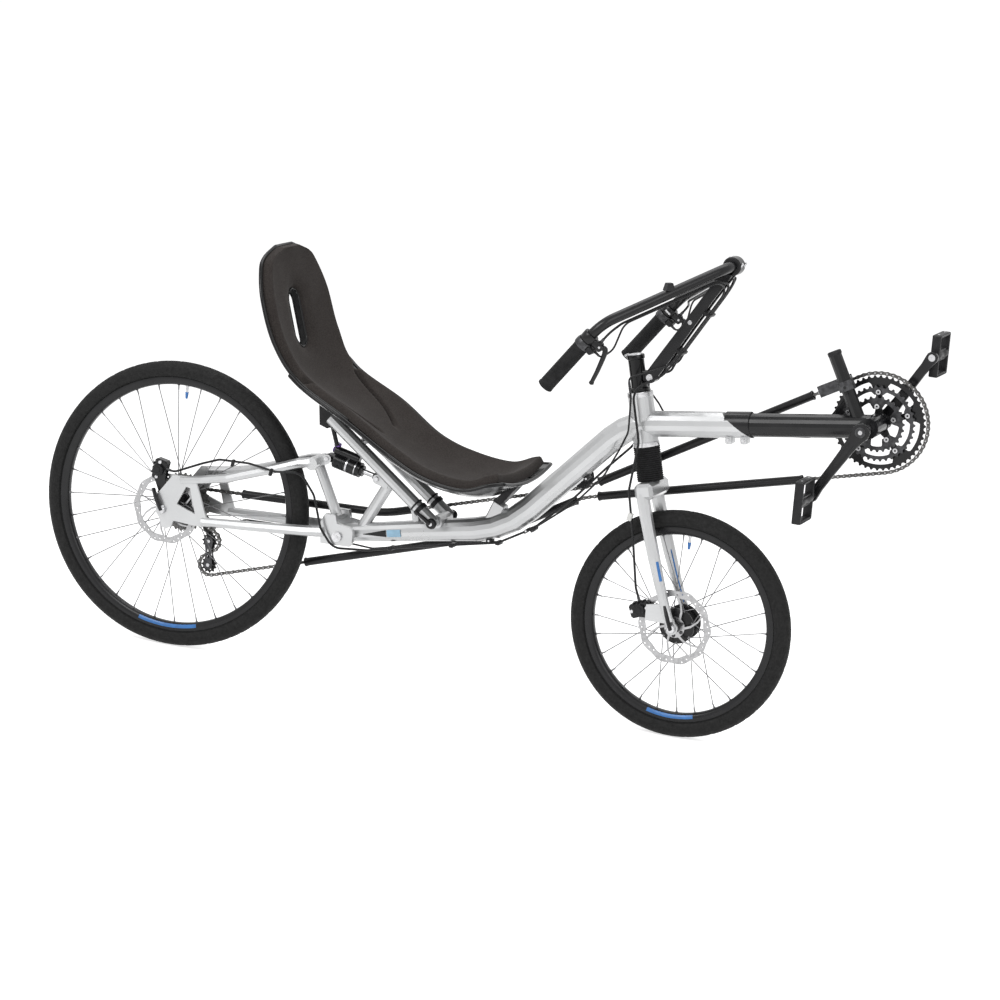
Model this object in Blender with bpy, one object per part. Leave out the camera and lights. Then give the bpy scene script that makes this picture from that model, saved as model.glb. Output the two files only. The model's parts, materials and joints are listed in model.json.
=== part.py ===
"""Recumbent bicycle with a bent main tube, a moulded seat and a sprung swingarm.

Metres, +X forward, +Y to the rider's left, +Z up. Shapes are drawn in the bicycle's own frame, whose
origin is on the floor under the rear axle, and the whole is then hung from a point on the seat.
"""
import math

import bmesh
import bpy
from mathutils import Matrix, Vector

# Fits
GAP = 0.0003
RUNNING_GAP = 0.0006
DISC_GAP = 0.0020

# Stance
REAR_TYRE_R = 0.3195
FRONT_TYRE_R = 0.2430
WHEELBASE = 1.1815
HEAD_TILT = math.radians(12.8)
HEAD_TOP_X = 1.0474
HEAD_TOP_Z = 0.7192
HEAD_LENGTH = 0.115
SEAT_POINT = (0.560, 0.0, 0.470)

# Tyres and rims
TYRE_W = 0.040
TYRE_H = 0.040
RIM_W = 0.025
RIM_FLANGE_H = 0.006
RIM_DEPTH = 0.012
TYRE_STEPS = 40

# Hubs and spokes
AXLE_R = 0.0050
HUB_FLANGE_T = 0.003
SPOKE_R = 0.0011
REAR_SPOKES = 32
FRONT_SPOKES = 28
REAR_HALF_OLD = 0.0675
FRONT_HALF_OLD = 0.0500
NUT_R = 0.009
NUT_L = 0.009

# Brake discs
DISC_R = 0.080
DISC_T = 0.002
DISC_BAND = 0.016
DISC_INSET = 0.0154

# Main tube, as points of its centre line with the bend radius at each corner
PIVOT = (0.407, 0.316)
MAIN_LOW = (0.407, 0.318)
MAIN_BEND = (0.780, 0.386)
MAIN_NECK = (1.031, 0.649)
BOOM_SLOPE = math.radians(7.5)
SOCKET_END_X = 1.290
MAIN_BEND_R = 0.220
MAIN_NECK_R = 0.150
MAIN_TAIL_TUBE_R = 0.0200
MAIN_LOW_TUBE_R = 0.0250
MAIN_TUBE_R = 0.0275
PIVOT_SHELL_R = 0.018
PIVOT_SHELL_HALF = 0.030

# Head tube and steering column
HEAD_R = 0.0265
COLUMN_R = 0.0143
RISER_R = 0.0170
RISER_LENGTH = 0.078
BOOT_R = 0.0280
BOOT_LENGTH = 0.072
CROWN_H = 0.034

# Boom and bottom bracket
BOOM_R = 0.0245
BOOM_INSERTION = 0.120
CRANK_X = 1.548
CRANK_Z = 0.717
BB_SHELL_R = 0.0215
BB_HALF = 0.034
POST_R = 0.014
POST_TOP = (1.452, 0.858)
POST_FOOT = (1.522, 0.722)

# Crank set
SPINDLE_R = 0.0085
CRANK_LENGTH = 0.168
CRANK_ANGLE = math.radians(58.5)
ARM_Y = 0.085
ARM_T = 0.013
PEDAL_Y = 0.145
PEDAL_LENGTH = 0.090
PEDAL_WIDTH = 0.085
PEDAL_T = 0.022
PEDAL_AXLE_R = 0.0055
CHAIN_PITCH = 0.0127
CHAINLINE = 0.052
RING_T = 0.0022
RING_STEP = 0.0080

# Fork
BLADE_TOP_Y = 0.045
BLADE_FOOT_Y = 0.0555
BLADE_TOP_R = 0.0145
BLADE_FOOT_R = 0.0095

# Handlebar
BAR_R = 0.0110
BAR_FRONT = (1.224, 0.0, 1.004)
BAR_HALF_FRONT = 0.045
BAR_BEND = (1.037, 0.250, 0.887)
BAR_WRIST = (0.999, 0.250, 0.839)
BAR_END = (0.930, 0.250, 0.748)
GRIP_R = 0.0165
GRIP_LENGTH = 0.112

SHIFTER_LENGTH = 0.016
PERCH_LENGTH = 0.018
LEVER_TIP = (1.026, 0.765)
LEVER_R = 0.0055

# Seat
SEAT_FIT = 0.0009
SHELL_T = 0.004
PAD_T = 0.022
STRUT_R = 0.014
STRUT_Y = 0.045

# Chain
BIG_RING = 48
MIDDLE_RING = 38
SMALL_RING = 28
TOOTH_RISE = 0.0014
TOOTH_GAP = 0.0006
CHAIN_H = 0.0080
CHAIN_W = 0.0055
CHAIN_INNER_W = 0.0040
CHAIN_TUBE_R = 0.0090
CHAIN_TUBE_BORE = 0.0062
TUBE_BEND_R = 0.300
RUN_SPLIT_Z = 0.220
RUN_SPLIT_SLOPE = 0.280
IDLER = (0.915, 0.508)
IDLER_R = 0.0200
IDLER_Y = 0.066
PULL_BEND = (0.4232, 0.6575)
RETURN_LOW_BEND = (0.590, 0.625)
RETURN_HIGH_BEND = (0.970, 0.3175)
RETURN_Y = 0.085
GUIDE_PULLEY = (0.053, 0.219)
TENSION_PULLEY = (0.028, 0.160)
PULLEY_R = 0.0190
HANGER = (0.013, 0.289)
KNUCKLE = (0.056, 0.247)
PULL_FRONT_TUBE = (1.404, 0.955)
PULL_REAR_TUBE = (0.560, 0.131)
RETURN_FRONT_TUBE = (0.950, 1.397)
RETURN_REAR_TUBE = (0.289, 0.900)
CASSETTE = (11, 13, 15, 18, 21, 26, 32)
SMALL_SPROCKET_Y = 0.0580
SPROCKET_STEP = 0.0048
SPROCKET_T = 0.0018

# Swingarm and shock
SWING_YOKE = (0.331, 0.464)
YOKE_R = 0.014
SWING_LUG_T = 0.011
SWING_STRUT_R = 0.0115
UPPER_STAY_R = 0.0115
LOWER_STAY_R = 0.0125
PIVOT_BOLT_R = 0.0050
DROPOUT_Y = 0.0700
DROPOUT_T = 0.005
DROPOUT_OUTLINE = [(-0.016, 0.312), (-0.006, 0.300), (0.000, 0.282), (0.010, 0.277), (0.024, 0.284),
                   (0.028, 0.298), (0.098, 0.294), (0.110, 0.308), (0.076, 0.396), (0.060, 0.402),
                   (0.020, 0.398), (-0.016, 0.350)]
DROPOUT_WINDOW = [(0.034, 0.336), (0.080, 0.320), (0.064, 0.376), (0.054, 0.378)]
SHOCK_REAR = (0.358, 0.476)
SHOCK_FRONT = (0.478, 0.449)
SHOCK_EYE_R = 0.010
SHOCK_EYE_HALF = 0.012
SHOCK_BOLT_R = 0.004
EAR_T = 0.004
EAR_R = 0.010
TOWER_FOOT = (0.445, 0.334)
TOWER_TOP = (0.507, 0.450)
TOWER_R = 0.013
GUSSET_R = 0.010

# Seat supports
STRUT_FOOT = (0.629, 0.381)
STRUT_TOP = (0.374, 0.573)
FRONT_LUG = (0.745, 0.398)
FRONT_LUG_REACH = 0.044
FRONT_FOOT_PLACE = 8.75
REAR_FOOT_PLACE = 4.25
REAR_BRACKET_OUTLINE = [(0.328, 0.608), (0.334, 0.548), (0.352, 0.542), (0.388, 0.557), (0.391, 0.568),
                        (0.384, 0.573), (0.362, 0.566), (0.354, 0.594)]
REAR_BRACKET_PIN = (0.384, 0.565)
STRUT_BOSS_R = 0.014
STRUT_PIN_R = 0.0080

# Place in side view of the side edge, half width, depth of the middle below the edges
SEAT_LINE = [
    (0.228, 0.934, 0.120, 0.006),
    (0.234, 0.890, 0.162, 0.018),
    (0.246, 0.822, 0.172, 0.026),
    (0.283, 0.745, 0.168, 0.034),
    (0.345, 0.663, 0.163, 0.037),
    (0.453, 0.600, 0.158, 0.040),
    (0.560, 0.540, 0.154, 0.042),
    (0.640, 0.512, 0.152, 0.040),
    (0.729, 0.500, 0.150, 0.034),
    (0.784, 0.520, 0.148, 0.024),
    (0.813, 0.522, 0.140, 0.016),
]
SEAT_PIECES = 2
UPPER_SHELL_END = 5.0
UPPER_SHELL_WIDTH = 0.92
LOWER_SHELL_START = 3.8
PAD_WIDTH = 0.95
SLOT_TOP = (0.240, 0.822)
SLOT_BOTTOM = (0.280, 0.735)
SLOT_HALF = 0.020

# Hubs
HUB_NECK_R = 0.0110
REAR_HUB_R = 0.0150
REAR_FLANGE_R = 0.026
REAR_FLANGES = (-0.030, 0.020)
FRONT_HUB_R = 0.0280
FRONT_FLANGE_R = 0.038
FRONT_FLANGES = (-0.020, 0.026)

# Brake calipers, from the disc's middle
CALIPER_IN = 0.011
CALIPER_OUT = 0.014
ADAPTER_T = 0.004
ADAPTER_PROUD = 0.001

# Stem and riser
RISER_CAP = 0.004
STEM_HINGE = (1.071, 0.753)
STEM_EAR_HALF = 0.010
STEM_BOLT_R = 0.0045
STEM_RAIL_T = 0.007
STEM_RAIL_H = 0.026
BLADE_LINE = [(1.088, 0.516), (1.093, 0.496), (1.1125, 0.432), (1.143, 0.340), (1.166, 0.278), (1.1760, 0.256)]


def lerp(a, b, t):
    return a + (b - a) * t


def on_ground(x, z, y=0.0):
    """A point of the bicycle's own frame from its side view place."""
    return Vector((x, y, z))


STEER_DIR = Vector((-math.sin(HEAD_TILT), 0.0, math.cos(HEAD_TILT)))
STEER_FWD = Vector((math.cos(HEAD_TILT), 0.0, math.sin(HEAD_TILT)))
HEAD_TOP = on_ground(HEAD_TOP_X, HEAD_TOP_Z)
HEAD_FOOT = HEAD_TOP - STEER_DIR * HEAD_LENGTH
REAR_AXLE = on_ground(0.0, REAR_TYRE_R)
FRONT_AXLE = on_ground(WHEELBASE, FRONT_TYRE_R)
CRANK_AXLE = on_ground(CRANK_X, CRANK_Z)
BOOM_DIR = Vector((math.cos(BOOM_SLOPE), 0.0, math.sin(BOOM_SLOPE)))
CRANK_DIR = Vector((math.cos(CRANK_ANGLE), 0.0, math.sin(CRANK_ANGLE)))
FAR_PEDAL = CRANK_AXLE + CRANK_DIR * CRANK_LENGTH + Vector((0.0, PEDAL_Y, 0.0))
NEAR_PEDAL = CRANK_AXLE - CRANK_DIR * CRANK_LENGTH - Vector((0.0, PEDAL_Y, 0.0))

STEER_FRAME = Matrix.Translation(HEAD_FOOT) @ Matrix.Rotation(-HEAD_TILT, 4, "Y")
ACROSS = Matrix.Rotation(-math.pi / 2, 4, "X")

# Body name, parent body, frame of its joint
BODY_FRAMES = {
    "frame": (None, Matrix.Identity(4)),
    "steering": ("frame", STEER_FRAME),
    "front_wheel": ("steering", Matrix.Translation(FRONT_AXLE)),
    "rear_wheel": ("frame", Matrix.Translation(REAR_AXLE)),
    "crankset": ("frame", Matrix.Translation(CRANK_AXLE)),
    "pedal_near": ("crankset", Matrix.Translation(NEAR_PEDAL)),
    "pedal_far": ("crankset", Matrix.Translation(FAR_PEDAL)),
}

# Material name, colour, roughness, metallic
FINISHES = {
    "silver_paint": ((0.72, 0.73, 0.74), 0.28, 0.55),
    "black_paint": ((0.03, 0.03, 0.03), 0.30, 0.20),
    "black_plastic": ((0.035, 0.035, 0.035), 0.50, 0.0),
    "black_rubber": ((0.03, 0.03, 0.03), 0.75, 0.0),
    "tyre_rubber": ((0.035, 0.035, 0.038), 0.80, 0.0),
    "bright_steel": ((0.75, 0.75, 0.76), 0.25, 1.0),
    "dark_steel": ((0.20, 0.20, 0.21), 0.38, 0.9),
    "seat_foam": ((0.085, 0.078, 0.076), 0.85, 0.0),
    "shell_gloss": ((0.02, 0.02, 0.02), 0.15, 0.0),
}


def clear_scene():
    for old in list(bpy.data.objects):
        bpy.data.objects.remove(old, do_unlink=True)


def finish_material(name):
    material = bpy.data.materials.get(name)
    if material is None:
        colour, roughness, metallic = FINISHES[name]
        material = bpy.data.materials.new(name)
        material.use_nodes = True
        shader = material.node_tree.nodes["Principled BSDF"]
        shader.inputs["Base Color"].default_value = (*colour, 1.0)
        shader.inputs["Roughness"].default_value = roughness
        shader.inputs["Metallic"].default_value = metallic
    return material


def solid_from(bm, matrix=None):
    """Turns a bmesh into a loose object with its faces pointing out."""
    bmesh.ops.remove_doubles(bm, verts=bm.verts, dist=1e-6)
    bmesh.ops.recalc_face_normals(bm, faces=bm.faces)
    if bm.calc_volume(signed=True) < 0:
        bmesh.ops.reverse_faces(bm, faces=bm.faces)
    if matrix is not None:
        bm.transform(matrix)
    mesh = bpy.data.meshes.new("solid")
    bm.to_mesh(mesh)
    bm.free()
    solid = bpy.data.objects.new("solid", mesh)
    bpy.context.scene.collection.objects.link(solid)
    return solid


def applied(solid):
    """Replaces an object's mesh by its evaluated one and drops its modifiers."""
    graph = bpy.context.evaluated_depsgraph_get()
    mesh = bpy.data.meshes.new_from_object(solid.evaluated_get(graph))
    mesh.transform(solid.matrix_world)
    result = bpy.data.objects.new("solid", mesh)
    bpy.context.scene.collection.objects.link(result)
    bpy.data.objects.remove(solid, do_unlink=True)
    return result


def combined(operation, base, others, solver="EXACT"):
    """One Boolean for each of the other solids, which are used up."""
    for number, other in enumerate(others):
        step = base.modifiers.new(f"{operation}_{number}", "BOOLEAN")
        step.operation = operation
        step.solver = solver
        step.object = other
    result = applied(base)
    for other in others:
        bpy.data.objects.remove(other, do_unlink=True)
    return result


def fused(base, *others, solver="EXACT"):
    return combined("UNION", base, others, solver)


def cut(base, *others, solver="EXACT"):
    return combined("DIFFERENCE", base, others, solver)


def rod(start, end, radius, end_radius=None, sides=12, spin=0.0):
    """A straight round bar or cone between two points."""
    start, end = Vector(start), Vector(end)
    run = end - start
    bm = bmesh.new()
    far_radius = radius if end_radius is None else end_radius
    bmesh.ops.create_cone(bm, cap_ends=True, segments=sides, radius1=radius, radius2=far_radius,
                          depth=run.length)
    turn = run.to_track_quat("Z", "Y").to_matrix().to_4x4()
    place = Matrix.Translation((start + end) / 2) @ turn @ Matrix.Rotation(spin, 4, "Z")
    return solid_from(bm, place)


def cross_rod(x, z, y0, y1, radius, sides=12):
    """A round bar across the bicycle."""
    return rod(on_ground(x, z, y0), on_ground(x, z, y1), radius, sides=sides)


def block(centre, size, turn=0.0, bevel=0.0):
    """A box turned about Y, with its edges bevelled."""
    bm = bmesh.new()
    bmesh.ops.create_cube(bm, size=1.0)
    bmesh.ops.scale(bm, vec=size, verts=bm.verts)
    if bevel:
        bmesh.ops.bevel(bm, geom=bm.edges, offset=bevel, segments=1, affect="EDGES")
    return solid_from(bm, Matrix.Translation(centre) @ Matrix.Rotation(turn, 4, "Y"))


def lathe(profile, matrix, steps=24):
    """Spins a closed outline of (radius, height) points about the matrix's own Z."""
    bm = bmesh.new()
    verts = [bm.verts.new((radius, 0.0, height)) for radius, height in profile]
    edges = [bm.edges.new((verts[i], verts[(i + 1) % len(verts)])) for i in range(len(verts))]
    bmesh.ops.spin(bm, geom=verts + edges, cent=(0, 0, 0), axis=(0, 0, 1), dvec=(0, 0, 0),
                   angle=math.tau, steps=steps, use_merge=True, use_duplicate=False)
    return solid_from(bm, matrix)


def plate(loops, thickness, matrix):
    """A flat sheet in the matrix's XY, its first loop outside and the rest holes, centred on Z."""
    bm = bmesh.new()
    edges = []
    for loop in loops:
        verts = [bm.verts.new((x, y, -thickness / 2)) for x, y in loop]
        edges += [bm.edges.new((verts[i], verts[(i + 1) % len(verts)])) for i in range(len(verts))]
    bmesh.ops.triangle_fill(bm, use_beauty=True, use_dissolve=False, edges=edges)
    faces = list(bm.faces)
    grown = bmesh.ops.extrude_face_region(bm, geom=faces)
    top = [item for item in grown["geom"] if isinstance(item, bmesh.types.BMVert)]
    bmesh.ops.translate(bm, vec=(0, 0, thickness), verts=top)
    return solid_from(bm, matrix)


def upright(y):
    """Lays a plate's XY into the side view's X and Z at a place across the bicycle."""
    return Matrix.Translation((0.0, y, 0.0)) @ Matrix.Rotation(math.pi / 2, 4, "X")


def circle(radius, count, centre=(0.0, 0.0), start=0.0):
    return [(centre[0] + radius * math.cos(start + math.tau * i / count),
             centre[1] + radius * math.sin(start + math.tau * i / count)) for i in range(count)]


def rounded_path(corners, radii, step=0.20):
    """Straight runs joined by arcs: one bend radius for each inner corner, a point every step rad."""
    corners = [Vector(corner) for corner in corners]
    path = [corners[0]]
    for before, corner, after, radius in zip(corners, corners[1:], corners[2:], radii):
        back = (before - corner).normalized()
        ahead = (after - corner).normalized()
        half = back.angle(ahead) / 2
        reach = radius / math.tan(half)
        centre = corner + (back + ahead).normalized() * (radius / math.sin(half))
        first = corner + back * reach - centre
        last = corner + ahead * reach - centre
        sweep = first.angle(last)
        count = max(2, round(sweep / step))
        for i in range(count + 1):
            t = i / count
            spoke = first * math.sin((1 - t) * sweep) + last * math.sin(t * sweep)
            path.append(centre + spoke / math.sin(sweep))
    path.append(corners[-1])
    return path


def smooth_path(points, pieces=6):
    """A Catmull-Rom curve through hand-picked points."""
    points = [Vector(point) for point in points]
    padded = [points[0] * 2 - points[1]] + points + [points[-1] * 2 - points[-2]]
    path = []
    for a, b, c, d in zip(padded, padded[1:], padded[2:], padded[3:]):
        for i in range(pieces):
            t = i / pieces
            path.append(0.5 * ((2 * b) + (c - a) * t + (2 * a - 5 * b + 4 * c - d) * t * t
                               + (3 * b - a - 3 * c + d) * t ** 3))
    path.append(points[-1])
    return path


def tube(path, radius, radii=None, resolution=3):
    """A curve with a round bevel and filled caps. radii scale the bevel from point to point."""
    curve = bpy.data.curves.new("tube", "CURVE")
    curve.dimensions = "3D"
    curve.bevel_depth = radius
    curve.bevel_resolution = resolution
    curve.use_fill_caps = True
    spline = curve.splines.new("POLY")
    spline.points.add(len(path) - 1)
    for i, point in enumerate(path):
        spline.points[i].co = (*point, 1.0)
        spline.points[i].radius = radii[i] if radii else 1.0
    loose = bpy.data.objects.new("tube", curve)
    bpy.context.scene.collection.objects.link(loose)
    loose = applied(loose)
    bm = bmesh.new()
    bm.from_mesh(loose.data)
    bpy.data.objects.remove(loose, do_unlink=True)
    return solid_from(bm)


def ramp(path, stops):
    """Values along a path from (share of its length, value) stops."""
    lengths = [0.0]
    for a, b in zip(path, path[1:]):
        lengths.append(lengths[-1] + (b - a).length)
    values = []
    for length in lengths:
        share = length / lengths[-1]
        for (s0, v0), (s1, v1) in zip(stops, stops[1:]):
            if share <= s1 + 1e-9:
                values.append(lerp(v0, v1, (share - s0) / (s1 - s0)))
                break
    return values


def mirrored(points):
    return [Vector((x, -y, z)) for x, y, z in points]


BODIES = {}


def make_bodies():
    bicycle = bpy.data.objects.new("bicycle", None)
    bicycle.location = -Vector(SEAT_POINT)
    bpy.context.scene.collection.objects.link(bicycle)
    for name, (parent, frame) in BODY_FRAMES.items():
        empty = bpy.data.objects.new(f"{name}_axis", None)
        bpy.context.scene.collection.objects.link(empty)
        empty.parent = BODIES[parent] if parent else bicycle
        base = BODY_FRAMES[parent][1] if parent else Matrix.Identity(4)
        empty.matrix_local = base.inverted() @ frame
        BODIES[name] = empty


def piece(name, solid, material, body):
    """Names a finished solid and hangs it on its body."""
    mesh = solid.data
    mesh.transform(solid.matrix_world)
    mesh.transform(BODY_FRAMES[body][1].inverted())
    mesh.materials.clear()
    mesh.materials.append(finish_material(material))
    mesh.name = name
    solid.name = name
    solid.matrix_world = Matrix.Identity(4)
    solid.parent = BODIES[body]
    mesh.shade_smooth()
    mesh.set_sharp_from_angle(angle=math.radians(32))
    return solid


def boom_line(x):
    """Height of the boom's centre line at a place along the bicycle."""
    return CRANK_Z + (x - CRANK_X) * math.tan(BOOM_SLOPE)


def main_path():
    neck_x = MAIN_NECK[0]
    return rounded_path(
        [on_ground(*MAIN_LOW), on_ground(*MAIN_BEND), on_ground(neck_x, boom_line(neck_x)),
         on_ground(SOCKET_END_X + 0.03, boom_line(SOCKET_END_X + 0.03))],
        [MAIN_BEND_R, MAIN_NECK_R])


def build_main_frame():
    path = main_path()
    stops = [(0.0, MAIN_TAIL_TUBE_R), (0.18, MAIN_LOW_TUBE_R), (0.5, MAIN_TUBE_R), (1.0, MAIN_TUBE_R)]
    radii = [value / MAIN_TUBE_R for value in ramp(path, stops)]
    shell = tube(path, MAIN_TUBE_R, radii, resolution=6)
    pivot = cross_rod(*PIVOT, -PIVOT_SHELL_HALF, PIVOT_SHELL_HALF, PIVOT_SHELL_R)
    head = rod(HEAD_FOOT, HEAD_TOP, HEAD_R, sides=20)
    tower_top = on_ground(*TOWER_TOP)
    tower = rod(on_ground(*TOWER_FOOT), tower_top, TOWER_R)
    gusset = tube(smooth_path([tower_top - Vector((0.004, 0, 0.006)), on_ground(0.540, 0.431), on_ground(0.563, 0.402),
                               on_ground(0.573, 0.362)], 3), GUSSET_R, resolution=2)
    ears = shock_ears(SHOCK_FRONT, (TOWER_TOP[0] - 0.001, TOWER_TOP[1] - 0.009))
    boss_half = STRUT_Y - STRUT_R - GAP
    strut_boss = cross_rod(*STRUT_FOOT, -boss_half, boss_half, STRUT_BOSS_R)
    rise = front_lug_axis()
    lug = block(on_ground(*FRONT_LUG) + rise * (FRONT_LUG_REACH - 0.016) / 2,
                (0.030, 0.026, FRONT_LUG_REACH + 0.016), math.atan2(rise.x, rise.z), 0.003)
    frame = fused(shell, pivot, head, tower, gusset, *ears, strut_boss, lug)
    column = rod(HEAD_FOOT - STEER_DIR * 0.02, HEAD_TOP + STEER_DIR * 0.02,
                 (COLUMN_R + RUNNING_GAP) / math.cos(math.pi / 16), sides=16)
    socket_start = on_ground(SOCKET_END_X - BOOM_INSERTION, boom_line(SOCKET_END_X - BOOM_INSERTION))
    socket_end = on_ground(SOCKET_END_X + 0.1, boom_line(SOCKET_END_X + 0.1))
    socket = rod(socket_start, socket_end, (BOOM_R + GAP) / math.cos(math.pi / 20), sides=20)
    slant = math.atan2(0.070, 0.043)
    ahead = Vector((math.cos(slant), 0.0, math.sin(slant)))
    slanted = block(on_ground(1.263, 0.6815) + ahead * 0.15, (0.30, 0.20, 0.40), -slant)
    strut_bore = cross_rod(*STRUT_FOOT, -0.1, 0.1, STRUT_PIN_R + RUNNING_GAP)
    pivot_bore = cross_rod(*PIVOT, -0.1, 0.1, PIVOT_BOLT_R + RUNNING_GAP)
    frame = cut(frame, column, socket, slanted, strut_bore, pivot_bore, solver="MANIFOLD")
    piece("main_frame", frame, "silver_paint", "frame")


def shock_ears(eye, root):
    """Two ears from a frame member out to a shock's eye, bored for its bolt."""
    ears = []
    ahead = Vector((root[0] - eye[0], 0.0, root[1] - eye[1]))
    angle = -math.atan2(ahead.z, ahead.x)
    centre = on_ground(*eye) + ahead * 0.5
    for side in (-1, 1):
        y = side * (SHOCK_EYE_HALF + GAP + EAR_T / 2)
        body = block(centre + Vector((0, y, 0)), (ahead.length, EAR_T, 2 * EAR_R), angle)
        end = cross_rod(*eye, y - EAR_T / 2, y + EAR_T / 2, EAR_R)
        hole = cross_rod(*eye, y - EAR_T, y + EAR_T, SHOCK_BOLT_R + GAP)
        ears.append(cut(fused(body, end), hole))
    return ears


def build_shock():
    rear, front = on_ground(*SHOCK_REAR), on_ground(*SHOCK_FRONT)
    run = front - rear
    along = run.normalized()
    rise = Vector((-along.z, 0.0, along.x))
    parts = []
    for eye in (SHOCK_REAR, SHOCK_FRONT):
        parts.append(cross_rod(*eye, -SHOCK_EYE_HALF, SHOCK_EYE_HALF, SHOCK_EYE_R))
        bolt_half = SHOCK_EYE_HALF + EAR_T + 0.005
        parts.append(cross_rod(*eye, -bolt_half, bolt_half, SHOCK_BOLT_R))
    neck = rod(rear, rear + along * 0.020, 0.0085)
    can = rod(rear + along * 0.0118, rear + along * 0.078, 0.017)
    sleeve = rod(rear + along * 0.070, front - along * 0.006, 0.0085)
    seal = rod(rear + along * 0.072, rear + along * 0.084, 0.0125)
    reservoir = rod(rear + along * 0.006 + rise * 0.022, rear + along * 0.070 + rise * 0.021, 0.010)
    knob = rod(rear + along * 0.010 + rise * 0.020, rear + along * 0.010 + rise * 0.040, 0.008)
    piece("shock", fused(parts[0], *parts[1:], neck, can, sleeve, seal, reservoir, knob), "black_paint", "frame")


def build_boom():
    start = on_ground(SOCKET_END_X - BOOM_INSERTION + GAP, boom_line(SOCKET_END_X - BOOM_INSERTION + GAP))
    boom = rod(start, CRANK_AXLE, BOOM_R, sides=20)
    shell = cross_rod(CRANK_X, CRANK_Z, -BB_HALF, BB_HALF, BB_SHELL_R, sides=20)
    post = rod(on_ground(*POST_FOOT), on_ground(*POST_TOP), POST_R)
    body = fused(boom, shell, post)
    bore = cross_rod(CRANK_X, CRANK_Z, -0.1, 0.1, (SPINDLE_R + RUNNING_GAP) / math.cos(math.pi / 12))
    piece("boom", cut(body, bore), "black_paint", "frame")


def build_swingarm():
    lug_y = PIVOT_SHELL_HALF + GAP + SWING_LUG_T / 2
    lug_outline = [(0.368, 0.296), (0.436, 0.298), (0.442, 0.308), (0.442, 0.332), (0.436, 0.340),
                   (0.404, 0.344), (0.399, 0.362), (0.374, 0.362), (0.364, 0.340)]
    parts = []
    for side in (-1, 1):
        parts.append(plate([lug_outline, circle(PIVOT_BOLT_R + GAP, 12, PIVOT)], SWING_LUG_T,
                           upright(side * lug_y)))
        upper = [on_ground(*SWING_YOKE, side * 0.024), on_ground(0.300, 0.461, side * 0.035),
                 on_ground(0.148, 0.410, side * 0.066), on_ground(0.040, 0.391, side * DROPOUT_Y)]
        upper = smooth_path(upper, 2)
        parts.append(tube(upper, UPPER_STAY_R, ramp(upper, [(0, 1.0), (1, 0.75)]), resolution=2))
        lower = [on_ground(0.372, 0.322, side * 0.036), on_ground(0.330, 0.318, side * 0.044),
                 on_ground(0.200, 0.311, side * 0.060), on_ground(0.096, 0.306, side * DROPOUT_Y)]
        lower = smooth_path(lower, 2)
        parts.append(tube(lower, LOWER_STAY_R, ramp(lower, [(0, 1.0), (1, 0.8)]), resolution=2))
        parts.append(plate([DROPOUT_OUTLINE, DROPOUT_WINDOW,
                            circle(AXLE_R + GAP, 12, (0.0, REAR_TYRE_R))], DROPOUT_T,
                           upright(side * DROPOUT_Y)))
    yoke = cross_rod(*SWING_YOKE, -0.036, 0.036, YOKE_R)
    bridge_half = lug_y + SWING_LUG_T / 2
    bridge = cross_rod(0.386, 0.351, -bridge_half, bridge_half, 0.010)
    strut = rod(on_ground(0.386, 0.351), on_ground(*SWING_YOKE), SWING_STRUT_R)
    swingarm = fused(yoke, bridge, strut, *shock_ears(SHOCK_REAR, SWING_YOKE), *parts)
    piece("swingarm", swingarm, "silver_paint", "frame")
    reach = bridge_half + 0.006
    bolt = cross_rod(*PIVOT, -reach, reach, PIVOT_BOLT_R)
    heads = [cross_rod(*PIVOT, side * (bridge_half + GAP), side * reach, 0.011) for side in (-1, 1)]
    piece("pivot_bolt", fused(bolt, *heads), "dark_steel", "frame")


def build_seat_struts():
    parts = []
    for side in (-1, 1):
        parts.append(rod(on_ground(*STRUT_FOOT, side * STRUT_Y), on_ground(*STRUT_TOP, side * STRUT_Y),
                         STRUT_R))
    parts.append(cross_rod(*STRUT_FOOT, -STRUT_Y, STRUT_Y, STRUT_PIN_R))
    middle = (lerp(STRUT_FOOT[0], STRUT_TOP[0], 0.75), lerp(STRUT_FOOT[1], STRUT_TOP[1], 0.75))
    parts.append(cross_rod(*middle, -STRUT_Y, STRUT_Y, 0.008))
    piece("seat_struts", fused(*parts), "silver_paint", "frame")


def seat_section(place):
    """Smoothed seat station at a place in the table: edge, half width, dish, facing the rider."""
    rows = [Vector(row[:2]) for row in SEAT_LINE]
    k = min(int(place), len(rows) - 2)
    t = place - k
    a, b = rows[max(k - 1, 0)], rows[k]
    c, d = rows[k + 1], rows[min(k + 2, len(rows) - 1)]
    bow, twist = 2 * a - 5 * b + 4 * c - d, 3 * b - a - 3 * c + d
    edge = 0.5 * (2 * b + (c - a) * t + bow * t * t + twist * t ** 3)
    run = ((c - a) + 2 * bow * t + 3 * twist * t * t).normalized()
    half = lerp(SEAT_LINE[k][2], SEAT_LINE[k + 1][2], t)
    dish = lerp(SEAT_LINE[k][3], SEAT_LINE[k + 1][3], t)
    return edge, half, dish, Vector((-run.y, run.x))


def seat_sections(first, last):
    """Stations between two places, all on one lattice so that the layers keep the same facets."""
    places = [i / SEAT_PIECES for i in range(math.ceil(first * SEAT_PIECES), int(last * SEAT_PIECES) + 1)]
    sections = [seat_section(place) for place in places]
    for place, at_front in ((first, False), (last, True)):
        low = math.floor(place * SEAT_PIECES) / SEAT_PIECES
        share = (place - low) * SEAT_PIECES
        if share > 1e-6:
            pair = zip(seat_section(low), seat_section(low + 1 / SEAT_PIECES))
            between = [lerp(before, after, share) for before, after in pair]
            sections = sections + [between] if at_front else [between] + sections
    return sections


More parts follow.
